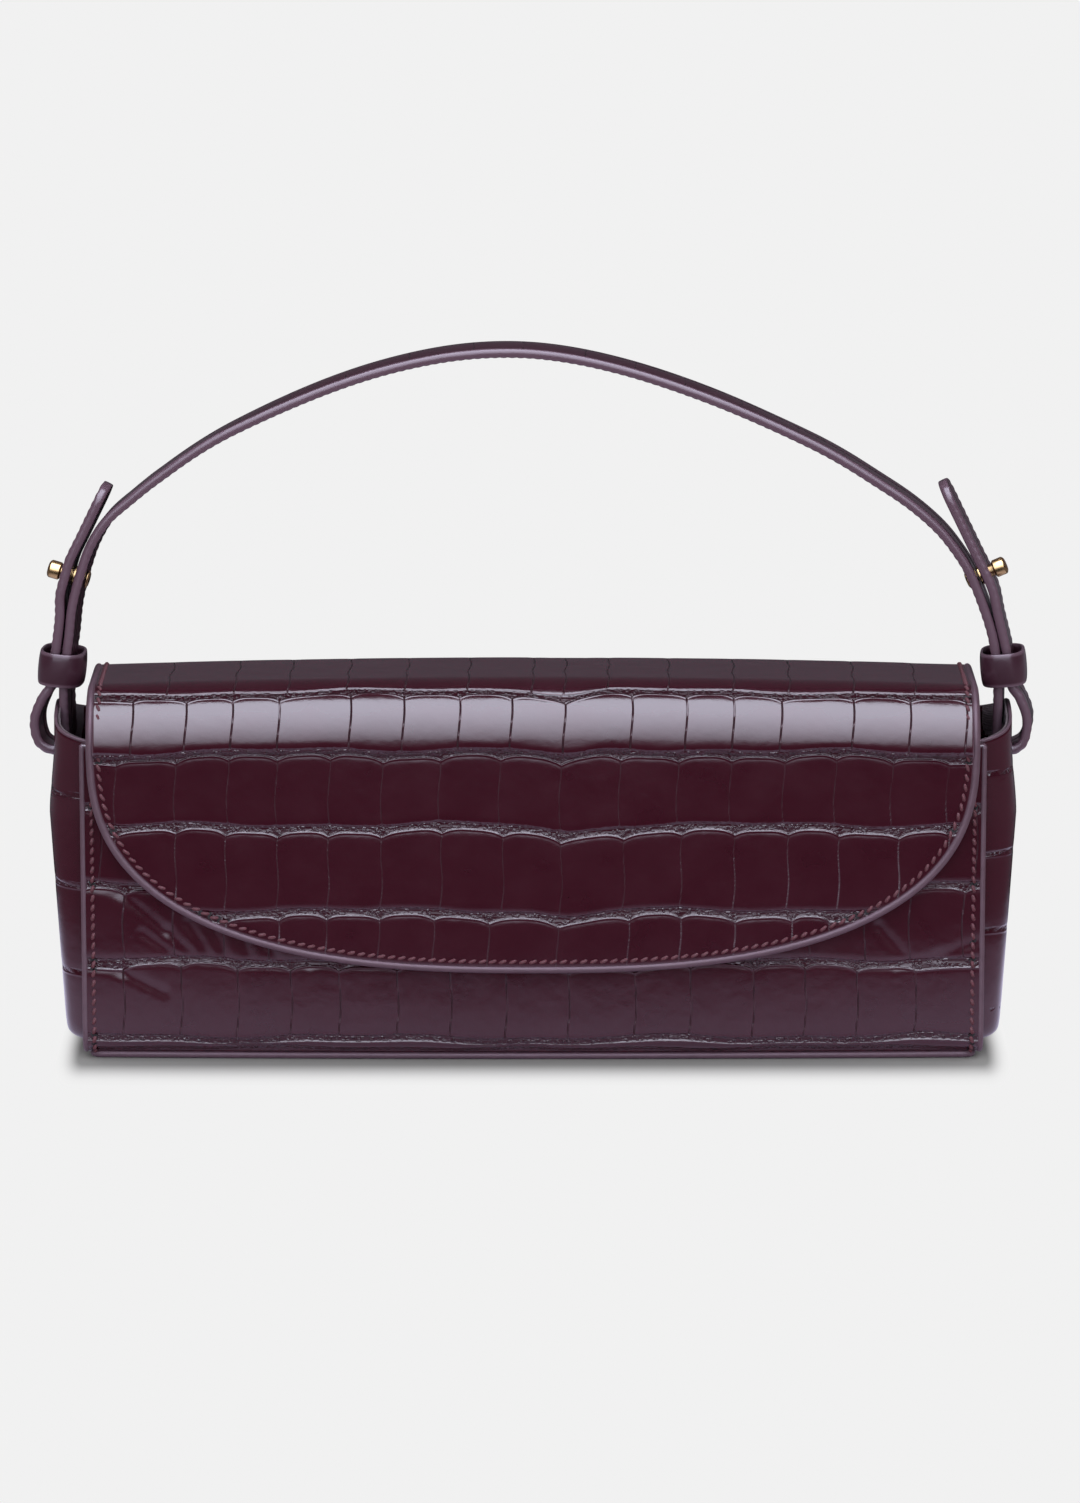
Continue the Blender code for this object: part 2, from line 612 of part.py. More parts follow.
def stud_frame(side):
    """A matrix at the inner leg's middle, its local Z pointing out along the stud."""
    place, way = at_height(inner_path, STUD_Z, side)
    across = Vector((math.sin(STRAP_YAW) * abs(way.z), math.cos(STRAP_YAW), 0))
    out = across.cross(way).normalized()
    if out.x * side < 0:
        out = -out
    across = out.cross(way).normalized()
    basis = Matrix((across, way, out)).transposed().to_4x4()
    basis.col[0][:3] = way.cross(out)
    return Matrix.Translation(place) @ basis


def turned(name, outline, frame, material, parent):
    """A solid turned from (radius, height) points round the frame's local Z."""
    bm = bmesh.new()
    verts = [bm.verts.new((r, 0, h)) for r, h in outline]
    edges = [bm.edges.new(pair) for pair in zip(verts, verts[1:])]
    bmesh.ops.spin(bm, geom=verts + edges, cent=(0, 0, 0), axis=(0, 0, 1),
                   angle=2 * math.pi, steps=STUD_SIDES)
    bmesh.ops.remove_doubles(bm, verts=bm.verts, dist=GAP / 10)
    bmesh.ops.transform(bm, matrix=frame, verts=bm.verts)
    return finish(name, bm, material, parent)


STUD_SIDES = 16


def stud(side, word):
    """A stud on the inner leg with its screw, and the holes that it needs in the strap."""
    frame = stud_frame(side)
    seat = half + GAP
    head_start = half + STUD_STACK + STUD_NECK_SHOWS
    head_top = head_start + STUD_HEAD
    shoulder = STUD_HEAD_RADIUS - STUD_EDGE
    outline = [
        (0, seat + STUD_BORE_DEPTH), (STUD_BORE_RADIUS, seat + STUD_BORE_DEPTH),
        (STUD_BORE_RADIUS, seat), (STUD_FLANGE_RADIUS, seat),
        (STUD_FLANGE_RADIUS, seat + STUD_FLANGE), (STUD_NECK_RADIUS, seat + STUD_FLANGE),
        (STUD_NECK_RADIUS, head_start), (shoulder, head_start),
        (STUD_HEAD_RADIUS, head_start + STUD_EDGE), (STUD_HEAD_RADIUS, head_top - STUD_EDGE),
        (shoulder, head_top), (0, head_top),
    ]
    turned(word + "_stud", outline, frame, BRASS, swing_axis)
    under = -half - GAP
    screw_tip = seat + STUD_BORE_DEPTH - GAP
    screw = [(0, under - SCREW_HEAD), (SCREW_HEAD_RADIUS, under - SCREW_HEAD),
             (SCREW_HEAD_RADIUS, under), (SCREW_RADIUS, under), (SCREW_RADIUS, screw_tip),
             (0, screw_tip)]
    turned(word + "_stud_screw", screw, frame, BRASS, swing_axis)
    for layer in strap_layers:
        drill = bmesh.new()
        reach = head_top + OVERRUN / 2
        bmesh.ops.create_cone(drill, cap_ends=True, segments=STUD_SIDES, radius1=STUD_HOLE_RADIUS,
                              radius2=STUD_HOLE_RADIUS, depth=2 * reach)
        bmesh.ops.transform(drill, matrix=frame, verts=drill.verts)
        cut(layer, drill)


stud(-1, "left")
stud(1, "right")


KEEPER_STEPS = 4


def keeper(side, word):
    """A leather ring round both legs, which slides up them: its hole is a rounded box, its outside an oval."""
    inner, way = at_height(inner_path, KEEPER_Z, side)
    outer = beside(KEEPER_Z, side, LEG_STACK)
    place = (inner + outer) / 2
    out = Vector((side * way.z, 0, -side * way.x))
    across = Vector((math.sin(STRAP_YAW), math.cos(STRAP_YAW), 0))
    out = (out - across * out.dot(across)).normalized()
    axis = axis_empty(word + "_keeper_axis", place, swing_axis)
    half_x, half_y = KEEPER_INNER_X / 2, KEEPER_INNER_Y / 2
    inside, outside = [], []
    for quarter in range(4):
        start = quarter * math.pi / 2
        sign_x = 1 if quarter in (0, 3) else -1
        sign_y = 1 if quarter in (0, 1) else -1
        centre = (sign_x * (half_x - KEEPER_CORNER), sign_y * (half_y - KEEPER_CORNER))
        inside += arc(centre, KEEPER_CORNER, start, start + math.pi / 2, KEEPER_STEPS - 1)
        for i in range(KEEPER_STEPS):
            turn = start + (i + 1 / 2) / KEEPER_STEPS * math.pi / 2
            share_x, share_y = (abs(v) ** (2 / KEEPER_OVAL_POWER) for v in (math.cos(turn), math.sin(turn)))
            outside.append((sign_x * (half_x + KEEPER_WALL) * share_x, sign_y * (half_y + KEEPER_WALL) * share_y))
    rings = [[place + out * x + across * y for x, y in outline] for outline in (inside, outside)]
    rise = way * KEEPER_HEIGHT / 2
    bm = bmesh.new()
    loops = [[bm.verts.new(p + rise * sign) for p in ring] for ring in rings for sign in (-1, 1)]
    count = len(loops[0])
    for a, b in ((0, 1), (1, 3), (3, 2), (2, 0)):
        for i in range(count):
            k = (i + 1) % count
            bm.faces.new((loops[a][i], loops[a][k], loops[b][k], loops[b][i]))
    finish(word + "_keeper", bm, STRAP_LEATHER, axis)
    higher = at_height(inner_path, KEEPER_TOP + LEGS_TOGETHER, side)[0]
    print(word, "keeper slides along", [round(v, 5) for v in (higher - inner).normalized()])


keeper(-1, "left")
keeper(1, "right")
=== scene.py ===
"""Looks of a small top handle bag in embossed leather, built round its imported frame."""
import math

import bpy
import numpy as np
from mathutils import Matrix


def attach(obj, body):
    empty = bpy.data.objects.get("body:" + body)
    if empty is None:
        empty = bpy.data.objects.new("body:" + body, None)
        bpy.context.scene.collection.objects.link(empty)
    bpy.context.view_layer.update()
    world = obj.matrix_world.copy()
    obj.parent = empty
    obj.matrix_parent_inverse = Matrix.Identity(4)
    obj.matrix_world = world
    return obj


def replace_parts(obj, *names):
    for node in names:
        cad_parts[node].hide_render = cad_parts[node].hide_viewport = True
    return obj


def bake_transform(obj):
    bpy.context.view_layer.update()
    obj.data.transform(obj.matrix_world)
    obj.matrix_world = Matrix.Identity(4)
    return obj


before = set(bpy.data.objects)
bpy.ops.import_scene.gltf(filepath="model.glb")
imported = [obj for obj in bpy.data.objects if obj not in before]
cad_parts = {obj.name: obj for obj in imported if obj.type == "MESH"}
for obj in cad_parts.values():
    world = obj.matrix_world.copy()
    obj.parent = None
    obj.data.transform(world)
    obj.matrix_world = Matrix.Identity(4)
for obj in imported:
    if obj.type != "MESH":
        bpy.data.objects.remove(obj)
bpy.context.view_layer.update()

# Camera: stands 2 m in front of the bag, half a metre up, and looks down at it by 11.7 degrees.
# The lens is the one that shows the bag at its size in the picture, 1080 by 1503 px.
camera_place = np.array([0.002, -2.0, 0.498])
camera_aim = np.array([0.002, 0.0, 0.0850])
picture_height = 1503
focal_px = 7066
eye = bpy.data.cameras.new("studio_camera")
eye.sensor_fit = "VERTICAL"
eye.sensor_height = 36
eye.lens = focal_px * eye.sensor_height / picture_height
camera = bpy.data.objects.new("studio_camera", eye)
bpy.context.scene.collection.objects.link(camera)
camera.location = camera_place
camera.rotation_euler = (math.pi / 2 + math.atan2(camera_aim[2] - camera_place[2], -camera_place[1]), 0, 0)
bpy.context.scene.camera = camera
bpy.context.scene.view_settings.view_transform = "Standard"


# Studio: a pale paper floor under even light. A tent round it, which only gloss sees, is dark with
# one bright window over the front, so the leather's polish shows as it does there.
def linear(hex_colour):
    """An sRGB hex colour as linear red, green, blue and alpha."""
    channels = [int(hex_colour[i:i + 2], 16) / 255 for i in (0, 2, 4)]
    return [((c + 0.055) / 1.055) ** 2.4 if c > 0.04045 else c / 12.92 for c in channels] + [1.0]


def add(tree, kind, inputs=(), out=0, **settings):
    """A new shader node's output. Its inputs, by name or in their order, are values or the outputs
    of other nodes."""
    item = tree.nodes.new("ShaderNode" + kind)
    for key, value in settings.items():
        setattr(item, key, value)
    for key, value in (inputs if isinstance(inputs, dict) else dict(enumerate(inputs))).items():
        if isinstance(value, bpy.types.NodeSocket):
            tree.links.new(value, item.inputs[key])
        else:
            item.inputs[key].default_value = value
    return item.outputs[out]


def bare(name):
    """A new material, its tree with nothing in it but the output, and the place on its object."""
    material = bpy.data.materials.new(name)
    material.use_nodes = True
    tree = material.node_tree
    for item in [n for n in tree.nodes if n.type != "OUTPUT_MATERIAL"]:
        tree.nodes.remove(item)
    return material, tree, add(tree, "TexCoord", out="Object")


def finish(tree, shader):
    """Joins a shader to the material's surface."""
    tree.links.new(shader, tree.nodes["Material Output"].inputs["Surface"])


def grid_faces(rows, columns, flipped=False):
    """Quads between the points of a grid, counted row by row."""
    i, j = np.meshgrid(np.arange(rows - 1), np.arange(columns - 1), indexing="ij")
    corner = (i * columns + j).ravel()
    quads = np.stack([corner, corner + 1, corner + columns + 1, corner + columns], axis=1)
    return quads[:, ::-1] if flipped else quads


def new_mesh(name, points, faces, material):
    """A smooth object from an array of points and a list of face arrays."""
    mesh = bpy.data.meshes.new(name)
    listed = [face for group in faces for face in np.asarray(group).tolist()]
    mesh.from_pydata(np.asarray(points).reshape(-1, 3).tolist(), [], listed)
    mesh.polygons.foreach_set("use_smooth", np.ones(len(mesh.polygons), bool))
    mesh.materials.append(material)
    mesh.validate()
    item = bpy.data.objects.new(name, mesh)
    bpy.context.scene.collection.objects.link(item)
    return item


SMOOTH = {"interpolation_type": "SMOOTHSTEP"}
PAPER = linear("f1f1f1")
PAPER_IN_GLOSS = (0.84, 0.80, 1.08, 1)
FOOT = (0.129, 0.0245, 0)


def finish_paper():
    """Matt paper, lit evenly, with a contact shadow that ends 34 mm before and behind the bag's foot
    and a quarter as far at its sides: rendered near the bag, and darkened further there for the camera
    by painted shadow. In gloss it shows a painted reflection: bluish paper near the bag, which turns
    from 50 to 160 mm away into dark card, paler far out at the sides."""
    material, tree, place = bare("matt_paper_floor")
    camera_ray, glossy_ray = (add(tree, "LightPath", out=ray) for ray in ("Is Camera Ray", "Is Glossy Ray"))
    folded = add(tree, "VectorMath", [place], operation="ABSOLUTE")
    past = add(tree, "VectorMath", [folded, FOOT], operation="SUBTRACT")
    past = add(tree, "VectorMath", [past, (0, 0, 0)], operation="MAXIMUM")
    clear = add(tree, "VectorMath", [past], "Value", operation="LENGTH")
    narrow = add(tree, "VectorMath", [past, (4, 1, 0)], operation="MULTIPLY")
    shadow = add(tree, "VectorMath", [narrow], "Value", operation="LENGTH")
    # painted shadow: for camera rays the paper is darkened near the bag's foot
    darkened = add(tree, "MapRange", [shadow, 0.008, 0.026, 0.58, 0.0])
    darkened = add(tree, "Math", [camera_ray, darkened], operation="MULTIPLY")
    shade = add(tree, "Math", [1.0, darkened], operation="SUBTRACT")
    paper = add(tree, "VectorMath", {0: PAPER[:3], 3: shade}, operation="SCALE")
    # painted reflection: in gloss the paper is tinted bluish, and far out it turns to dark card
    paper = add(tree, "MixRGB", [glossy_ray, paper, PAPER_IN_GLOSS])
    aside = add(tree, "MapRange", [add(tree, "SeparateXYZ", [folded], "X"), 0.16, 0.45])
    card = add(tree, "MixRGB", [aside, linear("161618"), linear("77727c")])
    pale, dark = (add(tree, "BsdfDiffuse", {"Color": colour}) for colour in (paper, card))
    far = add(tree, "MapRange", [clear, 0.05, 0.16])
    unseen = add(tree, "Math", [far, glossy_ray], operation="MULTIPLY")
    near = add(tree, "MixShader", [unseen, pale, dark])
    open_floor = add(tree, "MapRange", [shadow, 0.006, 0.034], **SMOOTH)
    open_floor = add(tree, "Math", [open_floor, camera_ray], operation="MULTIPLY")
    finish(tree, add(tree, "MixShader", [open_floor, near, add(tree, "Emission", {"Color": PAPER})]))
    return material


half_floor = 12.0
corners = [(x, y, -0.0001) for y in (-half_floor, half_floor) for x in (-half_floor, half_floor)]
floor = new_mesh("paper_floor", corners, [[(0, 1, 3, 2)]], finish_paper())

TENT_RADIUS = 1.6
SOFTBOX_POWER = 5.5
SOFTBOX_TINT = (0.88, 0.92, 1.08)


def finish_tent():
    """Dark walls, paler behind, with a window in front that reaches 0.85 m to each side and up from
    the floor. Its edges are soft, and its light grows with the height."""
    material, tree, place = bare("studio_tent")
    across, depth, height = (add(tree, "SeparateXYZ", [place], axis) for axis in "XYZ")
    rise = add(tree, "MapRange", [height, 0.0, 0.24])
    wide = add(tree, "Math", [across], operation="ABSOLUTE")
    window = add(tree, "Math", [rise, add(tree, "MapRange", [wide, 0.97, 0.73])], operation="MULTIPLY")
    before = add(tree, "Math", [depth, -0.1], operation="LESS_THAN")
    window = add(tree, "Math", [window, before], operation="MULTIPLY")
    behind = add(tree, "MapRange", [depth, -0.3, 0.3])
    walls = add(tree, "MixRGB", [behind, linear("1c1b1f"), linear("5c535c")])
    grade = add(tree, "MapRange", [height, -0.05, 1.45, 0.16, 1.35])
    light = [SOFTBOX_POWER * part for part in SOFTBOX_TINT]
    lamp = add(tree, "VectorMath", {0: light, 3: grade}, operation="SCALE")
    finish(tree, add(tree, "Emission", {"Color": add(tree, "MixRGB", [window, walls, lamp])}))
    return material


turn, lift = np.meshgrid(np.linspace(0, 2 * np.pi, 49), np.linspace(0, np.pi / 2, 13))
dome = np.stack([np.cos(turn) * np.cos(lift), np.sin(turn) * np.cos(lift), np.sin(lift)], axis=-1)
tent = new_mesh("studio_tent", dome * TENT_RADIUS, [grid_faces(13, 49, flipped=True)], finish_tent())
tent.visible_camera = tent.visible_diffuse = tent.visible_shadow = tent.visible_transmission = False

world = bpy.data.worlds.new("studio_light")
world.use_nodes = True
world.node_tree.nodes["Background"].inputs["Color"].default_value = linear("ffffff")
bpy.context.scene.world = world
world.cycles_visibility.glossy = False


# Base: a flat piece of bag leather under the body, with its cut edge painted. Its side view, its
# sheet of leather and its bead of paint are made by the same functions as the other pieces'.
MM = 0.001
HALF_WIDTH = 0.1292
FRONT_REACH = 0.0270
BACK_REACH = 0.0275
FRONT_TOP = 0.0926
FLAP_TOP = 0.1078
SHOULDER_RADIUS = 0.0155
BACK_FOLD = FLAP_TOP - SHOULDER_RADIUS
BELLY = 0.0025
CROWN = 0.0022
CROWN_START = 0.055
LEATHER = 0.0013
GAP = 0.0003
BASE_LIP = 0.0026
BASE_SIDE_LIP = 0.0016
BASE_INSET = 0.0024
BASE_CORNER = 0.003
BASE_RIM = 0.0010


def ramp(value, start, end):
    """0 before the start, 1 after the end, smooth between."""
    share = np.clip((value - start) / (end - start), 0, 1)
    return share * share * (3 - 2 * share)


def soften(x, y, z):
    """The body's soft form: the belly bows out at the base and the top is crowned, each most at mid
    width."""
    middle = 1 - (x / HALF_WIDTH) ** 2
    low = np.clip(1 - z / BACK_FOLD, 0, None)
    bowed = y * (1 + BELLY * low * middle / np.where(y < 0, FRONT_REACH, BACK_REACH))
    crowned = z + CROWN * ramp(z, CROWN_START, FLAP_TOP) * middle
    return np.stack(np.broadcast_arrays(x, bowed, crowned), axis=-1)


def unit(vectors):
    """The vectors at length 1."""
    return vectors / np.linalg.norm(vectors, axis=-1, keepdims=True)


def around(count):
    """So many angles, even round a circle."""
    return np.linspace(0, 2 * np.pi, count + 1)[:-1]


def distances(path):
    """How far along a path each of its points lies."""
    return np.concatenate([[0], np.cumsum(np.linalg.norm(np.diff(path, axis=0), axis=1))])


def read_along(places, marks, values):
    """Values kept at marks along a path, read at other places along it."""
    return np.stack([np.interp(places, marks, column) for column in np.transpose(values)], axis=-1)


def even_loop(closed, count):
    """So many points, even along a closed path."""
    marks = distances(closed)
    return read_along(np.linspace(0, marks[-1], count + 1)[:-1], marks, closed)


def skin(points, looped=False):
    """Outward faces of a tube given as rings of points: joined end to end, or with its ends capped."""
    rings, sides = points.shape[:2]
    ids = np.arange(rings * sides).reshape(rings, sides)
    wrapped = np.concatenate([ids, ids[:, :1]], axis=1)
    if looped:
        wrapped = np.concatenate([wrapped, wrapped[:1]])
    quads = [wrapped[:-1, :-1], wrapped[:-1, 1:], wrapped[1:, 1:], wrapped[1:, :-1]]
    groups = [np.stack(quads, axis=-1).reshape(-1, 4)]
    if not looped:
        groups += [ids[:1, ::-1], ids[-1:]]
    half = rings // 2
    start, beside, ahead = points[half, 0], points[half, 1], points[half + 1, 0]
    if np.cross(beside - start, ahead - start) @ (start - points[half].mean(axis=0)) < 0:
        groups = [group[:, ::-1] for group in groups]
    return groups


# what the leather's shader reads: mm inside a scale's outline, 1 near its upper edge, mm from an
# upright crease, how deep that crease is in mm, and last, 1 on a painted edge
MARKS = ["clear", "upper", "beside", "depth", "edge"]
PLAIN_MARKS = [2.0, 0.0, 5.0, 0.0, 0.0]
EMBOSS_MARKS = 4


def keep_tones(item, tones):
    """Writes marks to a mesh as attributes of its points. The last axis holds them in their order,
    and one that isn't given is plain."""
    count = len(item.data.vertices)
    for k, mark in enumerate(MARKS):
        values = tones[..., k].ravel() if k < tones.shape[-1] else PLAIN_MARKS[k]
        kept = item.data.attributes.new(mark, "FLOAT", "POINT")
        kept.data.foreach_set("value", np.zeros(count, np.float32) + values)


def plain_relief(u, v):
    """A face with no emboss."""
    return np.zeros_like(u), np.zeros(u.shape + (EMBOSS_MARKS,)) + PLAIN_MARKS[:EMBOSS_MARKS]


def zip_rows(fine, coarse):
    """Triangles between two rows of points of unlike number, from the same start to the same end."""
    steps = np.floor(np.arange(len(fine)) * (len(coarse) - 1) / (len(fine) - 1) + 0.5).astype(int)
    fine, coarse = np.asarray(fine), np.asarray(coarse)
    fans = np.stack([fine[:-1], fine[1:], coarse[steps[:-1]]], axis=1)
    turns = np.nonzero(np.diff(steps))[0]
    fills = np.stack([fine[turns + 1], coarse[steps[turns + 1]], coarse[steps[turns]]], axis=1)
    return np.concatenate([fans, fills])


def leather_sheet(name, chart, lay, relief, counts, thickness, material, open_start=False):
    """A closed sheet with round edges. chart(a, b, inset) gives the place across and along for a from
    -1 to 1 and b from 0 to 1, drawn in from the outline; lay(across, along, depth) puts it in space.
    The face carries the relief on a fine grid, the flesh side is coarse, and round the outline a
    half circle joins the two. The relief's marks are kept as attributes, beside how near a point is
    to the painted edge."""
    columns, rows, coarse_columns, coarse_rows = counts
    r = thickness / 2
    a, b = np.meshgrid(np.linspace(-1, 1, columns), np.linspace(0, 1, rows))
    across, along = chart(a, b, r)
    height, marks = relief(across / MM, along / MM)
    points = [lay(across, along, -height * MM).reshape(-1, 3)]
    tones = [np.concatenate([marks, 0 * marks[..., :1]], axis=-1).reshape(-1, len(MARKS))]
    ids = np.arange(rows * columns).reshape(rows, columns)
    faces = [grid_faces(rows, columns)]
    sides = [ids[:, 0], ids[-1, :], ids[::-1, -1]] + ([] if open_start else [ids[0, ::-1]])
    loop = np.concatenate([side[:-1] for side in sides] + [sides[-1][-1:]])
    loop_a, loop_b, loop_h = a.ravel()[loop], b.ravel()[loop], height.ravel()[loop] * MM
    loop_tone = tones[0][loop]
    last, count = loop, rows * columns
    for k in range(1, 9):
        turn = math.pi * k / 8
        kept = max(0.0, math.cos(turn))
        across, along = chart(loop_a, loop_b, r - r * math.sin(turn))
        points.append(lay(across, along, r - r * math.cos(turn) - loop_h * kept))
        painted = [0, 0, 0, 0, min(1.0, k / 2)]
        tones.append(loop_tone * kept + np.array(PLAIN_MARKS) * (1 - kept) + painted)
        ring = np.arange(count, count + len(loop))
        if not open_start:
            ring[-1] = ring[0]
        faces.append(np.stack([last[:-1], last[1:], ring[1:], ring[:-1]], axis=1))
        last, count = ring, count + len(loop)
    ca, cb = np.meshgrid(np.linspace(-1, 1, coarse_columns), np.linspace(0, 1, coarse_rows))
    points.append(lay(*chart(ca, cb, r), thickness).reshape(-1, 3))
    tones.append(np.zeros((ca.size, len(MARKS))) + PLAIN_MARKS)
    inner = np.arange(count, count + ca.size).reshape(coarse_rows, coarse_columns)
    faces.append(count + grid_faces(coarse_rows, coarse_columns, flipped=True))
    count += ca.size
    inner_sides = [inner[:, 0], inner[-1, :], inner[::-1, -1], inner[0, ::-1]]
    start = 0
    for side, inner_side in zip(sides, inner_sides):
        faces.append(zip_rows(last[start:start + len(side)], inner_side))
        start += len(side) - 1
    if open_start:
        points.append(points[0][ids[0, ::-1]])
        tones.append(tones[0][ids[0, ::-1]])
        faces.append(zip_rows(np.arange(count, count + columns), inner[0, ::-1]))
    points = np.concatenate(points)
    middle = ids[rows // 2, columns // 2]
    edge_a, edge_b = points[middle + 1] - points[middle], points[middle + columns] - points[middle]
    outward = points[middle] - points[inner[coarse_rows // 2, coarse_columns // 2]]
    if np.cross(edge_a, edge_b) @ outward < 0:
        faces = [group[:, ::-1] for group in faces]
    item = new_mesh(name, points, faces, material)
    keep_tones(item, np.concatenate(tones))
    return item


def rolled_rim(name, edge, lay, middle, half_width, depth, half_depth, looped=False):
    """A painted bead over a cut edge. edge(inset) gives the outline's places across and along, drawn
    in by the inset; the bead is an ellipse about the line that far in and that deep."""
    turn = around(16)
    points = lay(*edge(middle - half_width * np.cos(turn)), depth - half_depth * np.sin(turn))
    return new_mesh(name, points, skin(points, looped), EDGE_PAINT)


def finish_leather(name, face, crease_shade_colour, edge_colour, roughness=0.22, mottle=0.05, coat=0.85):
    """The whole leather, in its dye, embossed and polished to a gloss. From the marks come each scale's
    edges, crisp above and frayed below, its lip and the fine upright creases. The hide swells every
    6 mm, and the floor of a groove is rough at 1 mm. Pores are drawn 0.4 mm apart, coarser than real
    ones, which wouldn't show. The grooves and creases are darkened towards the crease colour, which is
    painted shade, and a painted edge takes the edge colour; gloss goes by cloudy wear, 11 mm across,
    and a crease has no polish."""
    material, tree, place = bare(name)
    clear, upper, beside, depth, edge = (
        add(tree, "Attribute", out="Fac", attribute_name=mark) for mark in MARKS)
    fray, cloud, swell, pores, grit = (
        add(tree, "TexNoise", {"Vector": place, "Scale": per_mm / MM, "Detail": detail})
        for per_mm, detail in ((0.7, 2.0), (0.09, 3.0), (0.16, 2.0), (2.6, 2.0), (0.9, 2.0)))

    fray = add(tree, "Math", [fray, 0.5, -0.25], operation="MULTIPLY_ADD")
    frayed = add(tree, "Math", [clear, fray], operation="ADD")
    soft = add(tree, "MapRange", [frayed, -0.35, 0.45], **SMOOTH)
    sharp = add(tree, "MapRange", [clear, -0.30, 0.22], **SMOOTH)
    scale = add(tree, "MixRGB", [upper, soft, sharp])
    crease = add(tree, "MapRange", [beside, 0.02, 0.34, 1.0, 0.0], **SMOOTH)
    cut = add(tree, "Math", [crease, depth], operation="MULTIPLY")
    cut = add(tree, "Math", [cut, scale], operation="MULTIPLY")
    lip = add(tree, "MapRange", [clear, 0.15, 0.8, 0.10, 0.0], **SMOOTH)
    lip = add(tree, "Math", [lip, upper], operation="MULTIPLY")
    shape = add(tree, "Math", [scale, 0.34, lip], operation="MULTIPLY_ADD")
    shape = add(tree, "Math", [shape, cut], operation="SUBTRACT")

    # painted shade: the grooves and the upright creases are darkened towards the crease shade colour
    groove = add(tree, "Math", [1.0, scale], operation="SUBTRACT")
    line = add(tree, "Math", [cut, 3.5], operation="MULTIPLY")
    dark = add(tree, "Math", [groove, line], operation="MAXIMUM")
    dye_and_crease_shade = add(tree, "MixRGB", [dark, linear(face), linear(crease_shade_colour)], use_clamp=True)
    tone = add(tree, "MapRange", [cloud, 0.3, 0.7, 1 - mottle, 1 + mottle])
    shaded = add(tree, "VectorMath", {0: dye_and_crease_shade, 3: tone}, operation="SCALE")
    coloured = add(tree, "MixRGB", [edge, shaded, linear(edge_colour)])

    slit = add(tree, "Math", [cut, 3.0], operation="MULTIPLY", use_clamp=True)
    worn = add(tree, "MapRange", [cloud, 0.3, 0.7, roughness - 0.02, roughness + 0.03])
    rough = add(tree, "Math", [slit, 0.55, worn], operation="MULTIPLY_ADD")
    rough = add(tree, "Math", [edge, 0.12, rough], operation="MULTIPLY_ADD")
    polish = add(tree, "Math", [slit, -0.9 * coat, coat], operation="MULTIPLY_ADD")
    lustre = add(tree, "MapRange", [frayed, -0.55, -0.30, 0.15, 0.5], **SMOOTH)

    rough_floor = add(tree, "MapRange", [clear, -0.45, 0.05, 1.0, 0.0], **SMOOTH)
    grit = add(tree, "MapRange", [grit, 0.46, 0.70], **SMOOTH)
    grit = add(tree, "Math", [grit, rough_floor], operation="MULTIPLY")
    bumps = add(tree, "Bump", {"Height": swell, "Distance": 0.14 * MM, "Strength": 1.0})
    for height, distance in ((shape, MM), (pores, 0.018 * MM), (grit, 0.34 * MM)):
        bumps = add(tree, "Bump", {"Height": height, "Distance": distance, "Strength": 1.0, "Normal": bumps})
    finish(tree, add(tree, "BsdfPrincipled", {
        "Base Color": coloured, "Roughness": rough, "Normal": bumps, "IOR": 1.35,
        "Specular IOR Level": lustre, "Coat Weight": polish, "Coat Roughness": 0.11, "Coat IOR": 1.5,
        "Coat Normal": bumps}))
    return material


def finish_plain(name, colour, roughness, metallic=0.0, per_mm=0.3, spread=0.15, depth=0.04,
                 stretch=(1, 1, 1)):
    """A small part's finish: its colour and gloss vary with one noise, so many clouds to the mm, which
    also raises its relief, so many mm. The stretch draws the noise out, for fibres or brush marks."""
    material, tree, place = bare(name)
    place = add(tree, "VectorMath", [place, stretch], operation="MULTIPLY")
    noise = add(tree, "TexNoise", {"Vector": place, "Scale": per_mm / MM, "Detail": 3.0})
    tone = add(tree, "MapRange", [noise, 0.3, 0.7, 1 - spread, 1 + spread])
    shaded = add(tree, "VectorMath", {0: linear(colour)[:3], 3: tone}, operation="SCALE")
    rough = add(tree, "Math", [tone, roughness], operation="MULTIPLY")
    bump = add(tree, "Bump", {"Height": noise, "Distance": depth * MM, "Strength": 1.0})
    finish(tree, add(tree, "BsdfPrincipled", {"Base Color": shaded, "Roughness": rough,
                                              "Metallic": metallic, "Normal": bump}))
    return material


# polished calf is dark and glossy, with painted shade in its grooves and creases; edge paint is a thick,
# half matt coat, a little uneven
PANEL_LEATHER = finish_leather("polished_calf_panels", "3c0c1d", "360f1c", "6a4f5e")
EDGE_PAINT = finish_plain("painted_leather_edge", "5b404f", 0.50, per_mm=0.4, spread=0.08, depth=0.06)


def rectangle(half_width, start, end):
    """The chart of a straight piece: across between its side edges, and along from start to end."""
    return lambda a, b, inset: (a * (half_width - inset), start + inset + b * (end - start - 2 * inset))


def base_lay(across, along, depth):
    """The base lies flat, its face down, bowed in plan like the walls."""
    return soften(across, along, 0 * across + depth)


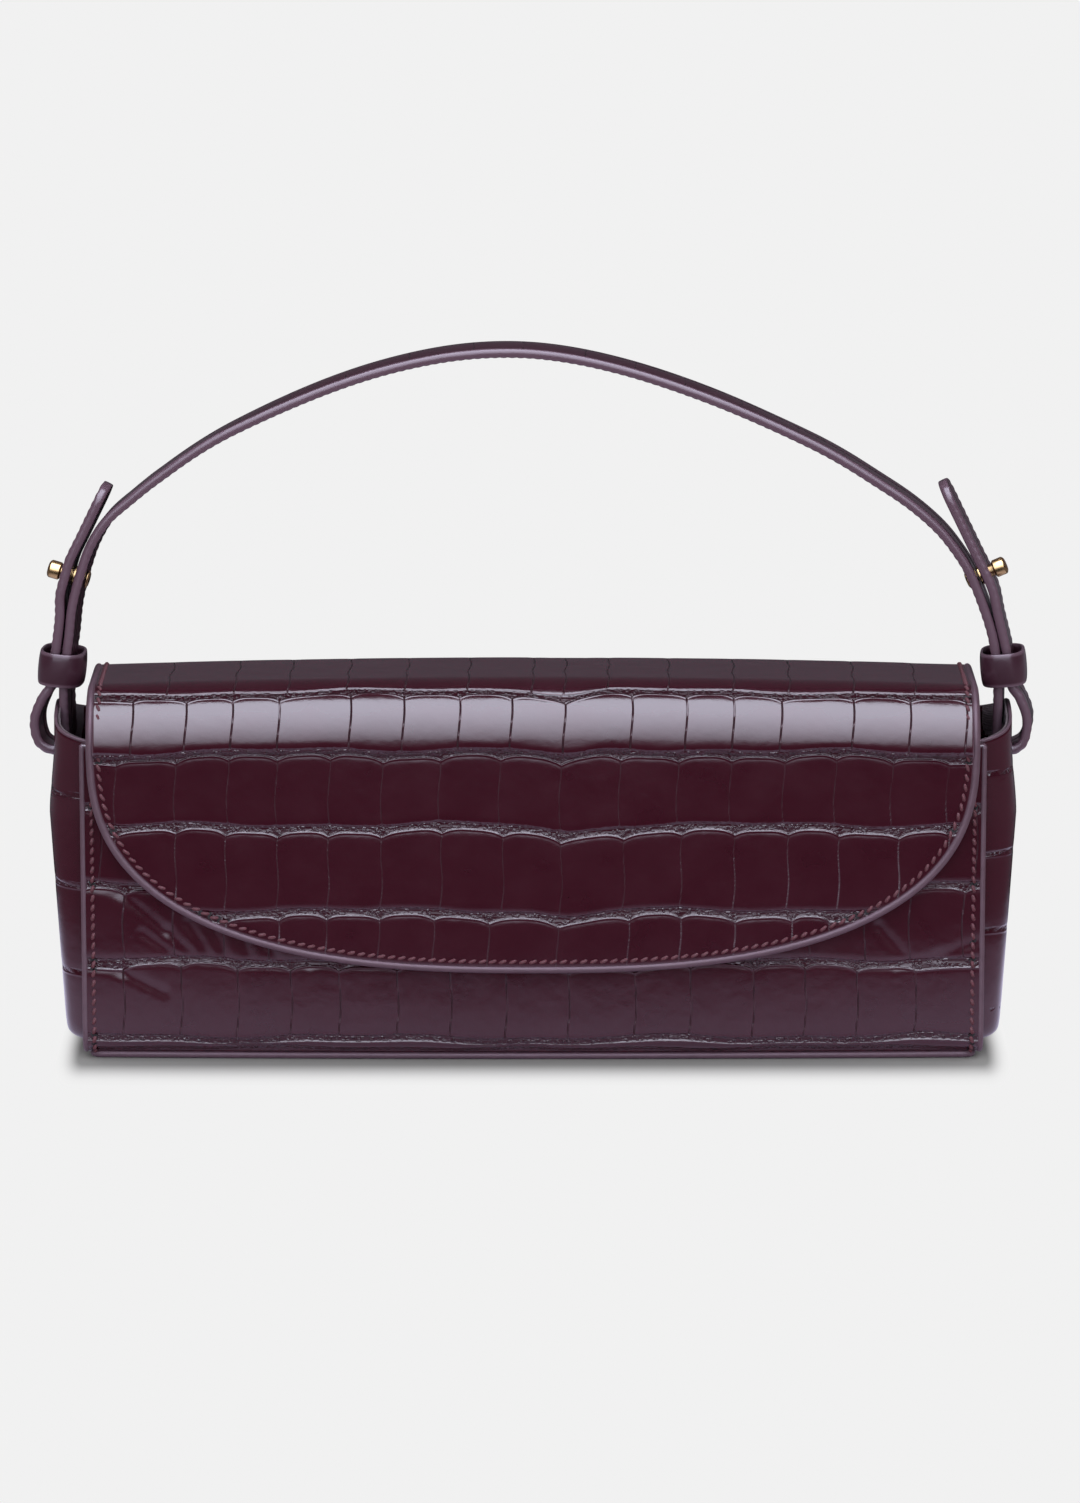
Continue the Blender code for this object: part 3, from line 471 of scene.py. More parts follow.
def base_edge(inset):
    """The base's outline, with rounded corners."""
    half_x = HALF_WIDTH - BASE_SIDE_LIP - BASE_CORNER
    half_y = (FRONT_REACH + BACK_REACH) / 2 - BASE_LIP - BASE_CORNER
    quarters = np.arange(4) * math.pi / 2
    corner_turn = np.linspace(0, math.pi / 2, 7)[:-1]
    turn = (quarters[:, None] + corner_turn).ravel()
    diagonal = quarters + math.pi / 4
    signs = np.sign(np.stack([np.cos(diagonal), np.sin(diagonal)], axis=1))
    middle = signs.repeat(len(corner_turn), 0) * [half_x, half_y] + [0, (BACK_REACH - FRONT_REACH) / 2]
    path = middle + BASE_CORNER * np.stack([np.cos(turn), np.sin(turn)], axis=1)
    path = even_loop(np.concatenate([path, path[:1]]), 400)
    inward = np.gradient(np.concatenate([path[-1:], path, path[:1]]), axis=0)[1:-1, ::-1] * [-1, 1]
    drawn = path[:, None] + unit(inward)[:, None] * np.asarray(inset)[None, :, None]
    return drawn[..., 0], drawn[..., 1]


base_chart = rectangle(HALF_WIDTH - BASE_INSET, BASE_LIP + BASE_INSET - FRONT_REACH,
                       BACK_REACH - BASE_LIP - BASE_INSET)
base = leather_sheet("base", base_chart, base_lay, plain_relief, (161, 41, 33, 13), LEATHER, PANEL_LEATHER)
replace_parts(base, "base_panel")
base_rim = rolled_rim("base_rim", base_edge, base_lay, BASE_RIM, BASE_RIM, BASE_RIM, BASE_RIM, looped=True)
for piece in (base, base_rim):
    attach(piece, "body")


# Front panel: bag leather embossed with large scales in rows, turned under the base at its foot
# and stitched to the gussets at its sides, where a bead of paint covers the cut edges.
SIDES = ((-1, "left"), (1, "right"))
BASE_RADIUS = 0.0150
FOOT_BEND = 0.0060
TURN_IN = 0.0050
SEAM_INSET = 0.0031
SEAM_STITCH = (0.0028, 0.0025, 0.0011)  # pitch, length and width
SEAM_SLANT = 0.30
MARGIN_RADIUS = 0.0009
MARGIN_INSET = 0.0006
front_length = FRONT_TOP - LEATHER - GAP - BASE_RADIUS + BASE_RADIUS * math.pi / 2 + TURN_IN


def scale_lines(start, seed, pitch=15.0):
    """Places in mm of a row's upright creases, about a pitch apart, never quite even."""
    steps = pitch + 2.6 * np.random.default_rng(seed).uniform(-1, 1, 24)
    return start + np.cumsum(steps)


def scale_relief(u, v, rows, dip=0.0, seed=0.0, band=1.0, full_row=None, fuller=0.0):
    """Height in mm of the emboss at u across and v along, both in mm. rows holds, for each row, the
    place of the band over it, where its upright creases are, and their depth. A band is a rough
    groove 1.6 mm wide that waves a little, wider or narrower by the factor band, and dips near the
    middle. Each scale starts under it in an arc, ends straight, is domed, and falls to the creases
    at its sides. The full row swells by so much more towards its foot. The marks come too."""
    height, marks = plain_relief(u, v)
    fold = dip * np.exp(-((u - 9.7) / 9.0) ** 2)
    centres = [place + 0.5 * np.sin(u / 13 + k * 2.1 + seed) + 0.35 * np.sin(u / 5.7 + k + seed) + fold
               for k, (place, creases, depth) in enumerate(rows)]
    for k, (place, creases, depth) in enumerate(rows):
        low = centres[k + 1] if k + 1 < len(rows) else centres[k] + 24
        inside = (v >= centres[k]) & (v < low)
        lines = np.concatenate([[-400.0], creases, [400.0]])
        shifted = u + 0.3 * np.sin(v / 3.1 + k * 1.7) + 0.02 * (v - centres[k])
        right = np.clip(np.searchsorted(lines, shifted), 1, len(lines) - 1)
        width = lines[right] - lines[right - 1]
        share = (shifted - lines[right - 1]) / width
        bow = np.abs(2 * share - 1)
        beside = np.minimum(share, 1 - share) * width
        under = v - centres[k] - band * (0.75 + 1.4 * bow ** 3.5)
        over = low - band * (1.0 + 0.3 * bow ** 8) - v
        clear = np.minimum(under, over)
        middle = 2 * (v - centres[k]) / (low - centres[k]) - 1
        dome = 0.20 * (1 - middle ** 10) * (1 - 0.25 * bow ** 8)
        here = dome - 0.16 * (1 - ramp(clear, -0.7, 1.3))
        if k == full_row:
            here = here + fuller * ramp(middle, -0.8, 1.0)
        upper = np.clip((over - under) / 2 + 0.5, 0, 1) * (depth > 0)
        near = np.stack([np.clip(clear, -2, 2), upper, beside, 0 * u + depth], axis=-1)
        height = np.where(inside, here, height)
        marks = np.where(inside[..., None], near, marks)
    return height, marks


def wall_point(along, depth, top, reach, side, bend=None):
    """The side view of a front or back wall: down from its top edge, round a quarter circle at the
    base and on along the base, this deep under the outer face. Where no bend is given, the outer
    leather turns in tightly and what lies deeper has the solids' wide bend."""
    if bend is None:
        bend = FOOT_BEND if np.max(depth) < LEATHER * 1.5 else BASE_RADIUS
    upright = top - LEATHER - GAP - bend
    turn = np.clip((along - upright) / bend, 0, math.pi / 2)
    foot = np.clip(along - upright - bend * math.pi / 2, 0, None)
    radius = bend - depth
    y = reach - bend + radius * np.cos(turn) - foot
    z = np.where(along < upright, top - along, LEATHER + GAP + bend - radius * np.sin(turn))
    return side * y, z


LOWER_LINES = np.array([-117.2, -100.6, -84.4, -69.1, -55.2, -38.6, -23.3, -7.4, 10.5, 29.6, 45.5,
                        63.5, 78.4, 93.3, 110.1])
NO_LINES = np.array([])
FRONT_ROWS = [(-1.0, scale_lines(-190, 3), 0.2), (19.0, scale_lines(-186, 4), 0.2),
              (41.0, scale_lines(-192, 5), 0.25), (63.6, LOWER_LINES, 0.30),
              (86.2, NO_LINES, 0.0), (89.8, NO_LINES, 0.0)]
# each wrinkle's ends, across and down from the top edge in mm
CORNER_WRINKLES = [(-129, 64.5, -118, 66.5), (-118, 66.5, -106, 72.5), (-129, 40.5, -118, 43.5),
                   (-118, 43.5, -105, 54.5), (-105, 54.5, -98, 61.0), (-112, 55.0, -101, 63.0),
                   (-99, 52.0, -93, 61.5), (-92, 53.5, -88, 62.5), (-84, 55.5, -81, 63.0),
                   (-77, 57.5, -73, 63.0), (-66, 59.0, -64, 64.0), (116, 62.0, 128, 57.5),
                   (104, 64.5, 116, 62.0), (99, 53.0, 106, 61.0)]
WRINKLE_DEPTH = 0.24
WRINKLE_WIDTH = 1.6


def front_lay(across, along, depth):
    """The front wall in space."""
    return soften(across, *wall_point(along, depth, FRONT_TOP, FRONT_REACH, -1))


def front_relief(u, v):
    """The rows of scales, with the wrinkles that cross them at the two lower corners: each a soft
    fold about the line between its ends."""
    height, marks = scale_relief(u, v, FRONT_ROWS, 0.8)
    for u0, v0, u1, v1 in CORNER_WRINKLES:
        du, dv = u1 - u0, v1 - v0
        share = np.clip(((u - u0) * du + (v - v0) * dv) / (du ** 2 + dv ** 2), 0, 1)
        gap = np.hypot(u - u0 - share * du, v - v0 - share * dv)
        height = height - WRINKLE_DEPTH * np.exp(-(gap / WRINKLE_WIDTH) ** 2)
    return height, marks


def tube(name, path, radius):
    """A round bead of paint along a path of points: at each, a circle square to the path."""
    way = unit(np.gradient(path, axis=0))
    aside = unit(np.cross(way, [0.13, 0.97, 0.21]))
    third = np.cross(way, aside)
    turn = around(12)[None, :, None]
    points = path[:, None] + radius * (np.cos(turn) * aside[:, None] + np.sin(turn) * third[:, None])
    return new_mesh(name, points, skin(points), EDGE_PAINT)


# waxed linen is dull, its twist light and dark; a needle's hole is drawn as a dark disc of painted shade
THREAD = finish_plain("waxed_linen_thread", "5a2430", 0.75, per_mm=3.0, spread=0.3, depth=0.08)
NEEDLE_HOLE_SHADE = finish_plain("needle_hole_shade", "12060a", 0.8)


def stitch_row(name, lay, across, along, pitch, length, width, slant):
    """Thread along a line on a laid sheet's face: stitches at an even pitch, each turned by the
    slant, bowed over the leather in its middle and diving at its ends into a round needle hole, drawn
    as a dark disc of painted shade."""
    line = lay(across, along, 0)
    marks = distances(line)
    count = max(1, int(round(marks[-1] / pitch)))
    places = (np.arange(count) + 0.5) * marks[-1] / count
    facing = line - lay(across, along, 0.001)
    grids = (line, np.gradient(line, axis=0), facing)
    middle, way, up = (read_along(places, marks, grid) for grid in grids)
    way, up = unit(way), unit(up)
    side = np.cross(up, way)
    leaning = way * math.cos(slant) + side * math.sin(slant)
    beside = np.cross(up, leaning)
    share = np.linspace(-1, 1, 7)
    turn = around(6)
    radius = width / 2 * (1 - 0.6 * np.abs(share) ** 4)
    rise = (width * (0.30 - 0.45 * share ** 2))[:, None] + radius[:, None] * np.sin(turn)
    points = (middle[:, None, None] + leaning[:, None, None] * (share * length / 2)[:, None, None]
              + beside[:, None, None] * (radius[:, None] * np.cos(turn))[..., None]
              + up[:, None, None] * rise[..., None])
    step = share.size * turn.size
    faces = [np.concatenate([group + k * step for k in range(count)]) for group in skin(points[0])]
    thread = new_mesh(name, points, faces, THREAD)
    # each needle hole is a flat dark disc of painted shade on the face
    disc = around(8)[None, :, None]
    centres = np.concatenate([middle + end * leaning * length / 2 + up * 0.00003 for end in (-1, 1)])
    way, side = (np.tile(axis, (2, 1))[:, None] for axis in (way, side))
    holes = centres[:, None] + 0.6 * width * (np.cos(disc) * way + np.sin(disc) * side)
    painted_hole_shade = new_mesh(name + "_painted_hole_discs", holes, [np.arange(16 * count).reshape(-1, 8)], NEEDLE_HOLE_SHADE)
    return thread, painted_hole_shade


def stitch_side_seam(name, lay, along, side):
    """The row of stitches that holds a wall to the gusset on one side."""
    across = side * (HALF_WIDTH - SEAM_INSET) + 0 * along
    for piece in stitch_row(name, lay, across, along, *SEAM_STITCH, SEAM_SLANT * side):
        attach(piece, "body")


front_wall = leather_sheet("front_wall", rectangle(HALF_WIDTH, 0, front_length), front_lay, front_relief,
                           (541, 151, 41, 45), LEATHER, PANEL_LEATHER)
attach(front_wall, "body")
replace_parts(front_wall, "front_panel")
for side, word in SIDES:
    along = np.linspace(0.0004, front_length - TURN_IN, 120)
    path = front_lay(side * (HALF_WIDTH - MARGIN_INSET) + 0 * along, along, 0.0005)
    margin = tube("front_margin_" + word, path, MARGIN_RADIUS)
    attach(margin, "body")
    along = np.linspace(0.002, front_length - TURN_IN - 0.006, 200)
    stitch_side_seam("front_seam_thread_" + word, front_lay, along, side)


# Back panel and the rear of the flap: one piece of embossed leather that goes up the back and
# turns over the top, where the flap opens. It carries on in the flap's front piece.
FLAP_DEPTH = 0.0033
FLAP_CLEARANCE = 0.0010
FLAP_REACH = FRONT_REACH + FLAP_CLEARANCE + FLAP_DEPTH
SEAM_MARGIN = 0.0051
SEAM_ROOT = HALF_WIDTH - SEAM_MARGIN
GUSSET_BULGE = 0.0151
LEG_SETBACK = 0.0049
LEG_X = SEAM_ROOT + GUSSET_BULGE - LEG_SETBACK
FLAP_TO_LEG = 0.0069
FLAP_HALF_WIDTH = LEG_X - FLAP_TO_LEG
QUARTER = SHOULDER_RADIUS * math.pi / 2
TOP_RUN = BACK_REACH + FLAP_REACH - 2 * SHOULDER_RADIUS
FRONT_START = 2 * QUARTER + TOP_RUN
JOIN_RUN = 0.0195
back_length = BACK_FOLD - LEATHER - GAP - BASE_RADIUS + BASE_RADIUS * math.pi / 2 + TURN_IN
join_along = (back_length + JOIN_RUN) / MM
BACK_ROWS = [(join_along - 22 * k, scale_lines(-195 + 3 * k, 20 + k), 0.28) for k in range(6, -1, -1)]


def flap_point(run, depth):
    """The side view of the flap by the distance from the back fold: up and over a quarter circle,
    flat along the top, round the front shoulder and down, this deep under the outer face."""
    radius = SHOULDER_RADIUS - depth
    back = np.clip(run, 0, QUARTER) / SHOULDER_RADIUS
    flat = np.clip(run - QUARTER, 0, TOP_RUN)
    front = np.clip(run - QUARTER - TOP_RUN, 0, QUARTER) / SHOULDER_RADIUS
    drop = np.clip(run - FRONT_START, 0, None)
    y = BACK_REACH - SHOULDER_RADIUS - flat + radius * (np.cos(back) - np.sin(front))
    z = BACK_FOLD + radius * (np.sin(back) + np.cos(front) - 1) - drop
    return y, z


def half_width_at(along, low, high):
    """Half the width of the back by the place along it: it goes from the low half width to the high
    one where the flap leaves the seams."""
    return low + (high - low) * ramp(along, back_length - 0.008, back_length + 0.004)


def back_chart(a, b, inset):
    """Across between the side edges, which draw in where the flap leaves the seams. It starts at the
    join on top, so b runs down the back to the turned foot."""
    along = inset + (1 - b) * (back_length + JOIN_RUN - inset)
    return a * (half_width_at(along, HALF_WIDTH, FLAP_HALF_WIDTH) - inset), along


def back_lay(across, along, depth):
    """The back wall up to the fold, then the flap."""
    wall = wall_point(back_length - along, depth, BACK_FOLD, BACK_REACH, 1)
    flap = flap_point(along - back_length, depth)
    low = along < back_length
    return soften(across, np.where(low, wall[0], flap[0]), np.where(low, wall[1], flap[1]))


def back_relief(u, v):
    """Rows of scales up the back, with a band at the join."""
    return scale_relief(u, v, BACK_ROWS, 0.0, 1.0)


back_wall = leather_sheet("back_wall", back_chart, back_lay, back_relief, (431, 191, 41, 61), LEATHER,
                          PANEL_LEATHER, open_start=True)
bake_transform(back_wall)
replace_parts(back_wall, "back_panel", "flap_top_leather")
for side, word in SIDES:
    along = np.linspace(TURN_IN + 0.006, back_length - 0.010, 200)
    stitch_side_seam("back_seam_thread_" + word, back_lay, along, side)


# Flap: the same leather from the join over the shoulder to the rounded end, stitched to its
# lining near the edge, with the whole thickness painted as one round rim.
FLAP_DROP = 0.0656
FLAP_WIDE_Z = 0.0924
WIDE_LINE = FRONT_START - SHOULDER_RADIUS * math.asin((FLAP_WIDE_Z - BACK_FOLD) / SHOULDER_RADIUS)
OUTLINE_POWER = 2.6
TOP_LINES = np.array([-103.5, -84.4, -69.0, -52.3, -35.6, -17.8, 0.6, 9.8, 22.1, 39.4, 58.0, 73.9,
                      92.3, 109.9])
SHOULDER_LINES = np.array([-113.9, -98.7, -85.5, -72.2, -51.8, -36.7, -20.8, -6.0, 9.1, 28.3, 43.8,
                           57.2, 70.8, 91.3, 107.5, 123.5])
UPPER_LINES = np.array([-119.0, -101.9, -86.8, -73.0, -57.9, -42.9, -26.5, -9.4, 7.9, 24.8, 41.3,
                        56.3, 71.5, 86.2, 102.3, 118.2])
MIDDLE_LINES = np.array([-119.0, -101.8, -87.5, -72.7, -58.2, -43.0, -25.9, -8.3, 8.3, 26.2, 42.5,
                         57.7, 73.0, 87.5, 104.6, 119.0])
LOWER_FLAP_LINES = np.array([-88.0, -72.7, -59.1, -44.0, -28.3, -12.6, 7.1, 27.4, 42.2, 57.6, 73.9, 84.5])
FLAP_ROWS = [(19.5, TOP_LINES, 0.40), (61.2, SHOULDER_LINES, 0.42), (79.0, UPPER_LINES, 0.09),
             (99.9, MIDDLE_LINES, 0.09), (124.3, LOWER_FLAP_LINES, 0.09)]
BAND_DIP = 2.1
SHOULDER_ROW = 1
SHOULDER_SWELL = 1.3
RIM_COVER = 0.0018
RIM_HALF = 0.0013
RIM_START = 0.0045
FLAP_STITCH = (0.0029, 0.0027, 0.0010)  # pitch, length and width
FLAP_SLANT = 0.38
FLAP_STITCH_INSET = 0.0036
FLAP_STITCH_START = 0.0085
straight_share = (WIDE_LINE - JOIN_RUN) / (WIDE_LINE + FLAP_DROP - JOIN_RUN)


def flap_chart(a, b, inset, start=JOIN_RUN):
    """Across and along on the flap. Down to the widest line the edges are straight; below it the
    square of a and b is drawn onto a superellipse, so that the grid follows the rounded end."""
    down = np.clip((b - straight_share) / (1 - straight_share), 0, 1)
    power = OUTLINE_POWER
    across = (FLAP_HALF_WIDTH - inset) * a * (1 - down ** power / 2) ** (1 / power)
    fall = (FLAP_DROP - inset) * down * (1 - np.abs(a) ** power / 2) ** (1 / power)
    return across, start + np.clip(b / straight_share, 0, 1) * (WIDE_LINE - start) + fall


def flap_lay(across, along, depth):
    """The flap in space."""
    return soften(across, *flap_point(along, depth))


def flap_relief(u, v):
    """The flap's rows of scales, the one on the shoulder fuller towards its foot."""
    return scale_relief(u, v, FLAP_ROWS, BAND_DIP, full_row=SHOULDER_ROW, fuller=SHOULDER_SWELL)


def flap_edge(inset, start):
    """The flap's outline from one side's start down and round to the other's."""
    a = np.concatenate([np.full(260, -1.0), np.linspace(-1, 1, 401)[1:-1], np.full(260, 1.0)])
    b = np.concatenate([np.linspace(0, 1, 260), np.ones(399), np.linspace(1, 0, 260)])
    return flap_chart(a[:, None], b[:, None], np.asarray(inset), start)


flap = leather_sheet("flap", lambda a, b, inset: flap_chart(a, b, inset + RIM_COVER), flap_lay, flap_relief,
                     (561, 175, 41, 61), LEATHER, PANEL_LEATHER, open_start=True)
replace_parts(flap, "flap_front_leather")
rim = rolled_rim("flap_rim", lambda inset: flap_edge(inset, RIM_START), flap_lay, RIM_HALF, RIM_HALF,
                 FLAP_DEPTH / 2 - 0.0002, FLAP_DEPTH / 2 + 0.0003)
across, along = (values[:, 0] for values in flap_edge([FLAP_STITCH_INSET], FLAP_STITCH_START))
stitches = stitch_row("flap_thread", flap_lay, across, along, *FLAP_STITCH, FLAP_SLANT)
BLEND_RUNS = (0.0560, 0.0730)
blend_ends = [soften(0.0, *flap_point(run, 0.0)) for run in BLEND_RUNS]
for piece in (flap, rim, *stitches):
    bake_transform(piece)


# Linings: thin cotton twill glued inside the leather and its boards. One length lines the back and
# the top, one the flap's front, one the front wall and one the floor.
BOARD = 0.0008
LINING = 0.0006
LINING_DEPTH = LEATHER + GAP + BOARD + GAP
GUSSET_CLOTH = 0.0004
INNER_HALF_WIDTH = SEAM_ROOT - GAP - GUSSET_CLOTH - GAP
FLAP_LINING_INSET = 0.0012
RIB_PITCH = 0.0007


def finish_twill(name, colour):
    """Cotton twill: ribs at 45 degrees half a millimetre apart, broken by the yarns that cross them,
    under faint clouds 8 mm across. It is dull, with the little sheen of cotton."""
    material, tree, place = bare(name)
    ribs = []
    for slope in ((1, 1, 1), (1, -1, -1)):
        run = add(tree, "VectorMath", [place, slope], "Value", operation="DOT_PRODUCT")
        run = add(tree, "Math", [run, 2 * math.pi / RIB_PITCH], operation="MULTIPLY")
        ribs.append(add(tree, "Math", [run], operation="SINE"))
    crossed = add(tree, "Math", [ribs[1], 0.35], operation="MULTIPLY")
    weave = add(tree, "Math", [ribs[0], crossed], operation="ADD")
    cloud = add(tree, "TexNoise", {"Vector": place, "Scale": 0.12 / MM, "Detail": 3.0})
    tone = add(tree, "MapRange", [cloud, 0.0, 1.0, 0.8, 1.2])
    light = add(tree, "MapRange", [weave, -1.3, 1.3, 0.8, 1.1])
    tone = add(tree, "Math", [tone, light], operation="MULTIPLY")
    shaded = add(tree, "VectorMath", {0: linear(colour)[:3], 3: tone}, operation="SCALE")
    bump = add(tree, "Bump", {"Height": weave, "Distance": 0.05 * MM, "Strength": 0.7})
    finish(tree, add(tree, "BsdfPrincipled", {"Base Color": shaded, "Roughness": 0.85, "Normal": bump,
                                              "Sheen Weight": 0.15, "Sheen Roughness": 0.5}))
    return material


TWILL = finish_twill("cotton_twill_lining", "5a4650")


def line_with_cloth(name, chart, lay, counts, flat, area, rests_on, *nodes):
    """A sheet of lining cloth; the flat size it was cut to is passed in but not used."""
    cloth = leather_sheet(name, chart, lambda x, y, depth: lay(x, y, depth + LINING_DEPTH), plain_relief,
                          counts, LINING, TWILL)
    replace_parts(cloth, *nodes)
    return cloth


def back_lining_chart(a, b, inset):
    """As wide as the room between the gussets up the back, then as wide as the flap inside its rim.
    Like the leather, it starts at the join."""
    along = TURN_IN + inset + (1 - b) * (back_length - TURN_IN + JOIN_RUN - inset)
    half = half_width_at(along, INNER_HALF_WIDTH, FLAP_HALF_WIDTH - FLAP_LINING_INSET)
    return a * (half - inset), along


def flap_lining_chart(a, b, inset):
    """The flap's own outline, drawn in from its rim."""
    return flap_chart(a, b, inset + FLAP_LINING_INSET)


def floor_lining_lay(across, along, depth):
    """The floor's lining lies on its board, over the base."""
    return base_lay(across, along, LEATHER + GAP + depth)


bend_loss = LINING_DEPTH * math.pi / 2
inner_width = 2 * INNER_HALF_WIDTH
front_size = (inner_width, front_length - TURN_IN - bend_loss)
front_cloth = line_with_cloth("front_lining_cloth", rectangle(INNER_HALF_WIDTH, 0, front_length - TURN_IN),
                              front_lay, (61, 41, 31, 21), front_size, None, ["front_board"], "front_lining")
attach(front_cloth, "body")
back_size = (inner_width, back_length - TURN_IN + JOIN_RUN - 2 * bend_loss)
back_cloth = line_with_cloth("back_lining_cloth", back_lining_chart, back_lay, (61, 81, 31, 41), back_size,
                             None, ["back_board", "flap_top_board"], "back_lining", "flap_top_lining")
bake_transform(back_cloth)
flap_size = (2 * FLAP_HALF_WIDTH, WIDE_LINE + FLAP_DROP - JOIN_RUN - bend_loss)
flap_area = 0.86 * flap_size[0] * flap_size[1]
flap_cloth = line_with_cloth("flap_lining_cloth", flap_lining_chart, flap_lay, (81, 81, 41, 41), flap_size,
                             flap_area, ["flap_front_board"], "flap_front_lining")
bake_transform(flap_cloth)
floor_size = (inner_width, FRONT_REACH + BACK_REACH - 2 * BASE_RADIUS - 2 * GAP)
floor_chart = rectangle(INNER_HALF_WIDTH, BASE_RADIUS + GAP - FRONT_REACH, BACK_REACH - BASE_RADIUS - GAP)
floor_cloth = line_with_cloth("floor_lining_cloth", floor_chart, floor_lining_lay, (61, 13, 31, 7),
                              floor_size, None, ["base_board"], "base_lining")
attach(floor_cloth, "body")


# Gussets: the bulging side leather, stitched behind the front and back margins by its flange, with
# its mouth edge painted and a slot on its fullest line for the strap, and twill glued inside it.
GUSSET_LEATHER = 0.0010
GUSSET_EMBOSS = 0.4
GUSSET_SUNK = 0.3
GUSSET_CLOTH_INSET = 0.0015
GUSSET_BEND = FOOT_BEND + 0.0020
SPINE_FOOT = 0.0110
MOUTH_START = 0.070
MOUTH_DRAWN_IN = 0.0016
FOOT_DRAWN_IN = 0.0045
MOUTH_PEAK = 0.0074
MOUTH_BEAD_RADIUS = 0.0005
PIVOT_Z = 0.0868
STRAP_WIDTH = 0.0140
STRAP_THICKNESS = 0.0027
SWING = math.radians(30.0)
SLOT_MARGIN = 0.0009
GUSSET_ROWS = {-1: [(-10.0, np.array([-9.0, 15.0]), 0.2), (21.0, np.array([-14.0, 8.0]), 0.2),
                    (47.0, np.array([-4.0, 18.0]), 0.2), (73.5, np.array([-12.0, 10.0]), 0.2)],
               1: [(-12.0, np.array([-12.0, 9.0]), 0.2), (14.5, np.array([-5.0, 16.0]), 0.2),
                   (38.5, np.array([-15.0, 6.0]), 0.2), (61.0, np.array([-7.0, 13.0]), 0.2)]}


def gusset_point(y, z, full):
    """A gusset's place (out from the middle, y, z): each point of the outline is drawn in towards the
    fullest line by its share, while the bulge grows as 1 less the share's seventh power. It flattens
    near the mouth and towards the foot, and the middle of the mouth is drawn up into a peak."""
    spine = SPINE_FOOT + (FRONT_TOP - SPINE_FOOT) * (z - z.min()) / (FRONT_TOP - z.min())
    flat_y, flat_z = full * y, spine + full * (z - spine)
    bulge = GUSSET_BULGE - MOUTH_DRAWN_IN * ramp(flat_z, MOUTH_START, 0.088)
    bulge = bulge - FOOT_DRAWN_IN * np.clip(1 - flat_z / MOUTH_START, 0, None)
    peak = MOUTH_PEAK * (1 - full ** 1.7) * ramp(flat_z, MOUTH_START, FRONT_TOP)
    return SEAM_ROOT + bulge * (1 - full ** 7), flat_y, flat_z + peak


gusset_walk = np.linspace(0, FRONT_TOP - LEATHER - GAP - GUSSET_BEND + GUSSET_BEND * math.pi / 2, 70)
front_side = wall_point(gusset_walk, LEATHER + GAP, FRONT_TOP, FRONT_REACH, -1, GUSSET_BEND)
back_side = wall_point(gusset_walk[::-1], LEATHER + GAP, FRONT_TOP, BACK_REACH, 1, GUSSET_BEND)
bottom_y = np.linspace(front_side[0][-1], back_side[0][0], 27)[1:-1]
outline_y = np.concatenate([front_side[0], bottom_y, back_side[0]])
outline_z = np.concatenate([front_side[1], 0 * bottom_y + front_side[1][-1], back_side[1]])
gusset_shares = 1 - (1 - np.linspace(0, 1, 36)) ** 1.5


def keep_mesh(item):
    """Applies an object's modifiers to its mesh."""
    made = bpy.data.meshes.new_from_object(item.evaluated_get(bpy.context.evaluated_depsgraph_get()))
    item.modifiers.clear()
    item.data = made


def weld(item):
    """Joins the points that lie on one place, where the gusset's grid closes on its fullest line."""
    item.modifiers.new("weld", "WELD").merge_threshold = 0.00002
    keep_mesh(item)


def slot_prism(side, further):
    """The slot's shape as a prism through the gusset: two arcs that let the strap swing, pinched
    where it is thinnest."""
    clear = STRAP_THICKNESS / 2 + 2 * SLOT_MARGIN
    radius = math.hypot(STRAP_WIDTH / 2, clear) + SLOT_MARGIN
    corner = SWING + math.atan2(clear, STRAP_WIDTH / 2)
    turn = np.linspace(-corner, corner, 15)
    lobe = radius * np.stack([np.cos(turn), np.sin(turn)], axis=1)
    pinch = np.array([[0, (clear + SLOT_MARGIN) / math.cos(SWING)]])
    flat = np.concatenate([lobe, pinch, -lobe, -pinch])
    places = [side * (SEAM_ROOT + GUSSET_BULGE / 2 - further), side * (SEAM_ROOT + GUSSET_BULGE + 0.01)]
    points = [np.stack([0 * flat[:, 0] + x, flat[:, 0], PIVOT_Z + flat[:, 1]], axis=1) for x in places]
    count = len(flat)
    ring = np.arange(count)
    walls = np.stack([ring, np.roll(ring, -1), np.roll(ring, -1) + count, ring + count], axis=1)
    return new_mesh("slot_prism", np.concatenate(points), [[ring[::-1]], [ring + count], walls], EDGE_PAINT)


def thicken_and_slot(item, side, thickness, offset, further=0.0):
    """Gives a gusset's sheet its thickness, its rim in its last material, and cuts the slot."""
    wall = item.modifiers.new("wall", "SOLIDIFY")
    wall.thickness = thickness
    wall.offset = offset
    wall.material_offset_rim = len(item.data.materials) - 1
    prism = slot_prism(side, further)
    item.modifiers.new("slot", "BOOLEAN").object = prism
    keep_mesh(item)
    bpy.data.objects.remove(prism)


